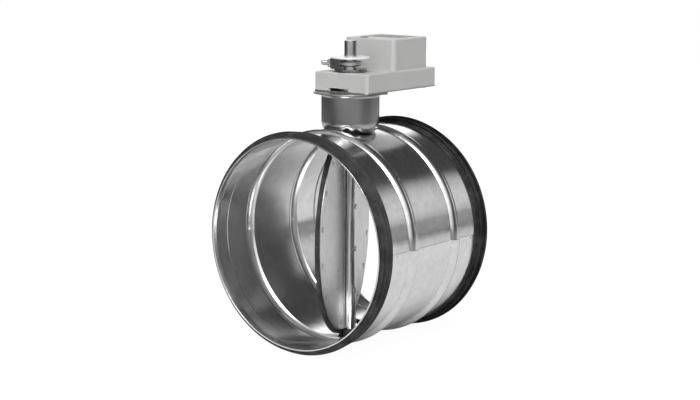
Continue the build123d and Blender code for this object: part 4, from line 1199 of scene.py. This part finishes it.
def build_clamp(sizes):
    """U-bolt, jaw, washers, nuts, bright disc and the hub's toothed crown."""
    plated = bpy.data.materials["Zinc-plated steel"]
    dark = plated_steel("Hardened steel", sizes.dark, roughness=0.2)
    bright = plated_steel("Zinc disc, white with painted highlight", sizes.disc, roughness=0.35, metallic=0.15)
    half_turn = Matrix.Rotation(math.pi, 4, "Z")
    low, high, rim = DISC_BOX[0].z, DISC_BOX[1].z, DISC_BOX[1].x
    level = half_turn @ Matrix.Translation((0, 0, low - sizes.bolt_drop))
    bolt = u_bolt(sizes)
    bolt.transform(level)
    piece_from("clamp_u_bolt", bolt, plated, "blade", ("clamp_bolt",), sharp=40.0)
    jaw = merged_copy("clamp_jaw", edge=0.3 * MM)
    piece_from("clamp_toothed_jaw", jaw, dark, "blade", ("clamp_jaw",))

    legs = level @ Matrix.Rotation(math.radians(90), 4, "Y")
    row = {
        "Count": 2, "Start": (0, -sizes.bolt_bend, sizes.nut_start),
        "Step": (0, 2 * sizes.bolt_bend, 0), "Material": plated,
    }
    nut = hex_nut(sizes.nut_flats, sizes.nut_height, sizes.bolt_radius)
    nuts = grown(row_tree(), nut, row, legs)
    piece_from("clamp_hex_nuts", nuts, plated, "blade", ("clamp_nuts",))
    bore, edge, thick = sizes.bolt_radius, sizes.washer_radius, sizes.washer_thick
    soft = 0.2 * MM
    corners = [(bore, 0, 0), (edge, 0, soft), (edge, thick, soft), (bore, thick, 0)]
    washer = lathe(rounded(corners), even_turns(40))
    row["Start"] = (0, -sizes.bolt_bend, sizes.nut_start - thick)
    washers = grown(row_tree(), washer, row, legs)
    piece_from("clamp_plain_washers", washers, plated, "blade", ("clamp_washers",))

    bore, softer = SPINDLE_BOX[1].x + sizes.disc_gap, 0.4 * MM
    corners = [(bore, low, soft), (rim, low, softer), (rim, high, softer), (bore, high, soft)]
    disc = lathe(rounded(corners), even_turns(96))
    piece_from("clamp_bright_disc", disc, bright, "blade", ("clamp_disc",))
    hub = merged_copy("output_hub", edge=0.15 * MM)
    piece_from("hub_with_sector", hub, dark, "blade", ("output_hub",))


# Stage


def panel_mask(tree, ahead, height, turn, inner, outer):
    """A soft round panel in the sky, at a height and a turn from +X: 1 inside, 0 outside."""
    height, turn = math.radians(height), math.radians(turn)
    middle = (
        math.cos(height) * math.cos(turn), math.cos(height) * math.sin(turn), math.sin(height)
    )
    near = add_node(
        tree, "ShaderNodeVectorMath", {"operation": "DOT_PRODUCT"}, {0: ahead, 1: middle}
    )
    edge = add_node(
        tree, "ShaderNodeMapRange", {"interpolation_type": "SMOOTHSTEP"},
        {"Value": near.outputs["Value"], "From Min": math.cos(math.radians(outer)),
         "From Max": math.cos(math.radians(inner))},
    )
    return edge.outputs[0]


def studio_world(room, panels, backdrop):
    """A dim room with soft panels. The camera sees white, and metal sees a white backdrop."""
    world = bpy.data.worlds.new("Studio")
    bpy.context.scene.world = world
    world.use_nodes = True
    tree = world.node_tree
    tree.nodes.clear()
    ahead = add_node(tree, "ShaderNodeTexCoord").outputs["Generated"]
    total = room
    for *spot, level in panels:
        mask = panel_mask(tree, ahead, *spot)
        total = add_node(
            tree, "ShaderNodeMath", {"operation": "MULTIPLY_ADD"}, {0: mask, 1: level, 2: total}
        ).outputs[0]
    white = panel_mask(tree, ahead, *backdrop)
    path = add_node(tree, "ShaderNodeLightPath").outputs
    straight = add_node(
        tree, "ShaderNodeMath", {"operation": "ADD"},
        {0: path["Is Camera Ray"], 1: path["Is Transmission Ray"]},
    )
    share = add_node(
        tree, "ShaderNodeMath", {"operation": "MULTIPLY_ADD"},
        {0: path["Is Glossy Ray"], 1: white, 2: straight.outputs[0]},
    )
    sky = add_node(tree, "ShaderNodeBackground", None, {"Color": (1, 1, 1, 1), "Strength": total})
    paper = add_node(tree, "ShaderNodeBackground", None, {"Color": (1, 1, 1, 1), "Strength": 1.0})
    both = add_node(
        tree, "ShaderNodeMixShader", None,
        {0: share.outputs[0], 1: sky.outputs[0], 2: paper.outputs[0]},
    )
    add_node(tree, "ShaderNodeOutputWorld", None, {"Surface": both.outputs[0]})


def studio_floor(sizes):
    """White paper on a dark floor. The camera sees it white, with the object's shadow on it."""
    half = sizes.floor_half
    level = CAD_BOX[0].z - sizes.floor_gap
    mesh = bpy.data.meshes.new("studio_floor")
    corners = [
        (-half, -half, level), (half, -half, level), (half, half, level), (-half, half, level)
    ]
    mesh.from_pydata(corners, [], [(0, 1, 2, 3)])
    floor = placed("studio_floor", mesh)
    material, place, _ = start_material("Studio paper", sizes.floor, metallic=0.0, roughness=0.9)
    tree = material.node_tree
    shader = tree.nodes["Principled BSDF"]
    off = add_node(
        tree, "ShaderNodeVectorMath", {"operation": "DISTANCE"},
        {0: place, 1: tuple(sizes.paper_middle)},
    )
    paper = add_node(
        tree, "ShaderNodeMapRange", {"interpolation_type": "SMOOTHSTEP"},
        {"Value": off.outputs["Value"], "From Min": sizes.paper_inner,
         "From Max": sizes.paper_outer, "To Min": 1.0, "To Max": 0.0},
    ).outputs[0]
    tone = add_node(
        tree, "ShaderNodeMix", {"data_type": "RGBA"},
        {0: paper, 6: (*sizes.dark_floor, 1), 7: (*sizes.floor, 1)},
    )
    tree.links.new(tone.outputs[2], shader.inputs["Base Color"])
    path = add_node(tree, "ShaderNodeLightPath").outputs
    # metal sees the paper bright and the floor round it dark, and the camera sees all of it white
    mirrored = add_node(
        tree, "ShaderNodeMapRange", None,
        {"Value": paper, "To Min": sizes.dark_glow, "To Max": sizes.paper_glow},
    )
    strength = add_node(
        tree, "ShaderNodeMix", {"data_type": "FLOAT"},
        {0: path["Is Camera Ray"], 2: mirrored.outputs[0], 3: sizes.paper_white},
    )
    glow = add_node(tree, "ShaderNodeEmission", None, {"Strength": strength.outputs[0]})
    # what is left of the shares is the lit paper, which carries the object's shadow
    unlit = add_node(
        tree, "ShaderNodeMapRange", None,
        {"Value": paper, "To Min": 1.0, "To Max": 1 - sizes.lit_share},
    )
    seen = add_node(
        tree, "ShaderNodeMath", {"operation": "MULTIPLY"},
        {0: path["Is Camera Ray"], 1: unlit.outputs[0]},
    )
    away = add_node(tree, "ShaderNodeVectorMath", {"operation": "LENGTH"}, {0: place})
    near = add_node(
        tree, "ShaderNodeMapRange", {"interpolation_type": "SMOOTHSTEP"},
        {"Value": away.outputs["Value"], "From Min": sizes.shade_inner,
         "From Max": sizes.shade_outer, "To Min": 0.0, "To Max": sizes.glow_share},
    )
    bounced = add_node(
        tree, "ShaderNodeMath", {"operation": "ADD"},
        {0: path["Is Glossy Ray"], 1: path["Is Transmission Ray"]},
    )
    share = add_node(
        tree, "ShaderNodeMath", {"operation": "MULTIPLY_ADD"},
        {0: bounced.outputs[0], 1: near.outputs[0], 2: seen.outputs[0]},
    )
    both = add_node(
        tree, "ShaderNodeMixShader", None,
        {0: share.outputs[0], 1: shader.outputs[0], 2: glow.outputs[0]},
    )
    tree.links.new(both.outputs[0], tree.nodes["Material Output"].inputs["Surface"])
    mesh.materials.append(material)


def photo_camera(sizes):
    """Camera at the photograph's view."""
    turn, rise = sizes.azimuth, sizes.elevation
    back = Vector(
        (math.sin(turn) * math.cos(rise), -math.cos(turn) * math.cos(rise), math.sin(rise))
    )
    right = Vector((math.cos(turn), math.sin(turn), 0))
    up = back.cross(right)
    camera = placed("photo_camera", bpy.data.cameras.new("photo_camera"))
    axes = Matrix((right, up, back)).transposed().to_4x4()
    place = Matrix.Translation(back * sizes.distance + up * sizes.rise)
    camera.matrix_world = place @ axes @ Matrix.Rotation(sizes.roll, 4, "Z")
    camera.data.lens = sizes.lens
    camera.data.sensor_width = 36
    camera.data.clip_start = 0.05
    bpy.context.scene.camera = camera


def build_stage(sizes):
    """World with its panels, floor and camera."""
    bpy.context.scene.view_settings.view_transform = "Standard"
    # height and turn of each panel, its inner and outer angle in degrees, and its brightness
    panels = [
        (50, 302, 4, 25, 8.6),  # key light high over the camera
        (14, 296, 15, 75, 0.8),  # broad fill round the camera
        (30, 340, 8, 36, 0.5),  # right of the camera
        (62, 216, 10, 45, 0.4),  # high on the left
        (18, 123, 5, 18, 1.9),  # behind the object, seen in the tube's inside
        (19, 58, 6, 17, 0.42),  # behind on the right
        (2, 60, 6, 32, 0.26),  # the same side, low
    ]
    backdrop = (3, 123, 4, 15)  # low behind the object, always white
    studio_world(sizes.room, panels, backdrop)
    studio_floor(sizes)
    photo_camera(sizes)


# Operators and panel


class DAMPER_OT_finishes(bpy.types.Operator):
    """Makes the metal finishes that several pieces share"""

    bl_idname = "damper.finishes"
    bl_label = "Shared Finishes"

    def execute(self, context):
        plated_steel("Zinc-plated steel", context.scene.damper_clamp.plated, roughness=0.26)
        plated_steel("Spring steel", linear("#6d6e71"), roughness=0.3)
        return {"FINISHED"}


class DAMPER_OT_tube(bpy.types.Operator):
    """Builds the sheet-metal tube with its beads, rims and seams"""

    bl_idname = "damper.tube"
    bl_label = "Tube"

    def execute(self, context):
        build_tube(context.scene.damper_tube)
        return {"FINISHED"}


class DAMPER_OT_seals(bpy.types.Operator):
    """Builds the rubber lip seals and the other rubber pieces"""

    bl_idname = "damper.seals"
    bl_label = "Seals"

    def execute(self, context):
        build_seals(context.scene.damper_tube)
        return {"FINISHED"}


class DAMPER_OT_blade(bpy.types.Operator):
    """Builds the blade's discs, rivets, screws and nuts"""

    bl_idname = "damper.blade"
    bl_label = "Blade"

    def execute(self, context):
        build_blade(context.scene.damper_blade)
        return {"FINISHED"}


class DAMPER_OT_spindle(bpy.types.Operator):
    """Builds the spindle and dresses its clip"""

    bl_idname = "damper.spindle"
    bl_label = "Spindle"

    def execute(self, context):
        build_spindle(context.scene.damper_blade)
        return {"FINISHED"}


class DAMPER_OT_cup(bpy.types.Operator):
    """Builds the deep-drawn cup on the tube's crown"""

    bl_idname = "damper.cup"
    bl_label = "Cup"

    def execute(self, context):
        build_cup(context.scene.damper_actuator)
        return {"FINISHED"}


class DAMPER_OT_case(bpy.types.Operator):
    """Builds the actuator's case, plate, button and gland"""

    bl_idname = "damper.case"
    bl_label = "Actuator Housing"

    def execute(self, context):
        build_case(context.scene.damper_actuator)
        return {"FINISHED"}


class DAMPER_OT_inner_parts(bpy.types.Operator):
    """Dresses the gear train, the motor and the other pieces that keep their shape"""

    bl_idname = "damper.inner_parts"
    bl_label = "Inner Parts"

    def execute(self, context):
        build_inner_parts()
        return {"FINISHED"}


class DAMPER_OT_clamp(bpy.types.Operator):
    """Builds the U-bolt clamp and the hub's crown"""

    bl_idname = "damper.clamp"
    bl_label = "Clamp"

    def execute(self, context):
        build_clamp(context.scene.damper_clamp)
        return {"FINISHED"}


class DAMPER_OT_stage(bpy.types.Operator):
    """Builds the studio: world, floor, light panels and camera"""

    bl_idname = "damper.stage"
    bl_label = "Stage"

    def execute(self, context):
        build_stage(context.scene.damper_stage)
        return {"FINISHED"}


class DAMPER_PT_sidebar(bpy.types.Panel):
    """Lists the damper's pieces in the sidebar"""

    bl_label = "Duct Damper"
    bl_idname = "DAMPER_PT_sidebar"
    bl_space_type = "VIEW_3D"
    bl_region_type = "UI"
    bl_category = "Damper"

    def draw(self, context):
        for operator in OPERATORS:
            self.layout.operator(operator.bl_idname)


GROUPS = {
    "damper_tube": DamperTube,
    "damper_blade": DamperBlade,
    "damper_actuator": DamperActuator,
    "damper_clamp": DamperClamp,
    "damper_stage": DamperStage,
}
OPERATORS = (
    DAMPER_OT_stage, DAMPER_OT_finishes, DAMPER_OT_tube, DAMPER_OT_seals, DAMPER_OT_blade,
    DAMPER_OT_spindle, DAMPER_OT_cup, DAMPER_OT_case, DAMPER_OT_inner_parts, DAMPER_OT_clamp,
)


def register():
    """Registers the classes and hangs the settings on the scene."""
    for group in GROUPS.values():
        bpy.utils.register_class(group)
    for operator in OPERATORS:
        bpy.utils.register_class(operator)
    bpy.utils.register_class(DAMPER_PT_sidebar)
    for name, group in GROUPS.items():
        setattr(bpy.types.Scene, name, PointerProperty(type=group))


def unregister():
    """Takes the settings and classes away again."""
    for name in GROUPS:
        delattr(bpy.types.Scene, name)
    bpy.utils.unregister_class(DAMPER_PT_sidebar)
    for operator in reversed(OPERATORS):
        bpy.utils.unregister_class(operator)
    for group in reversed(list(GROUPS.values())):
        bpy.utils.unregister_class(group)


def main():
    register()
    for operator in OPERATORS:
        space, name = operator.bl_idname.split(".")
        getattr(getattr(bpy.ops, space), name)()


if __name__ == "__main__":
    main()
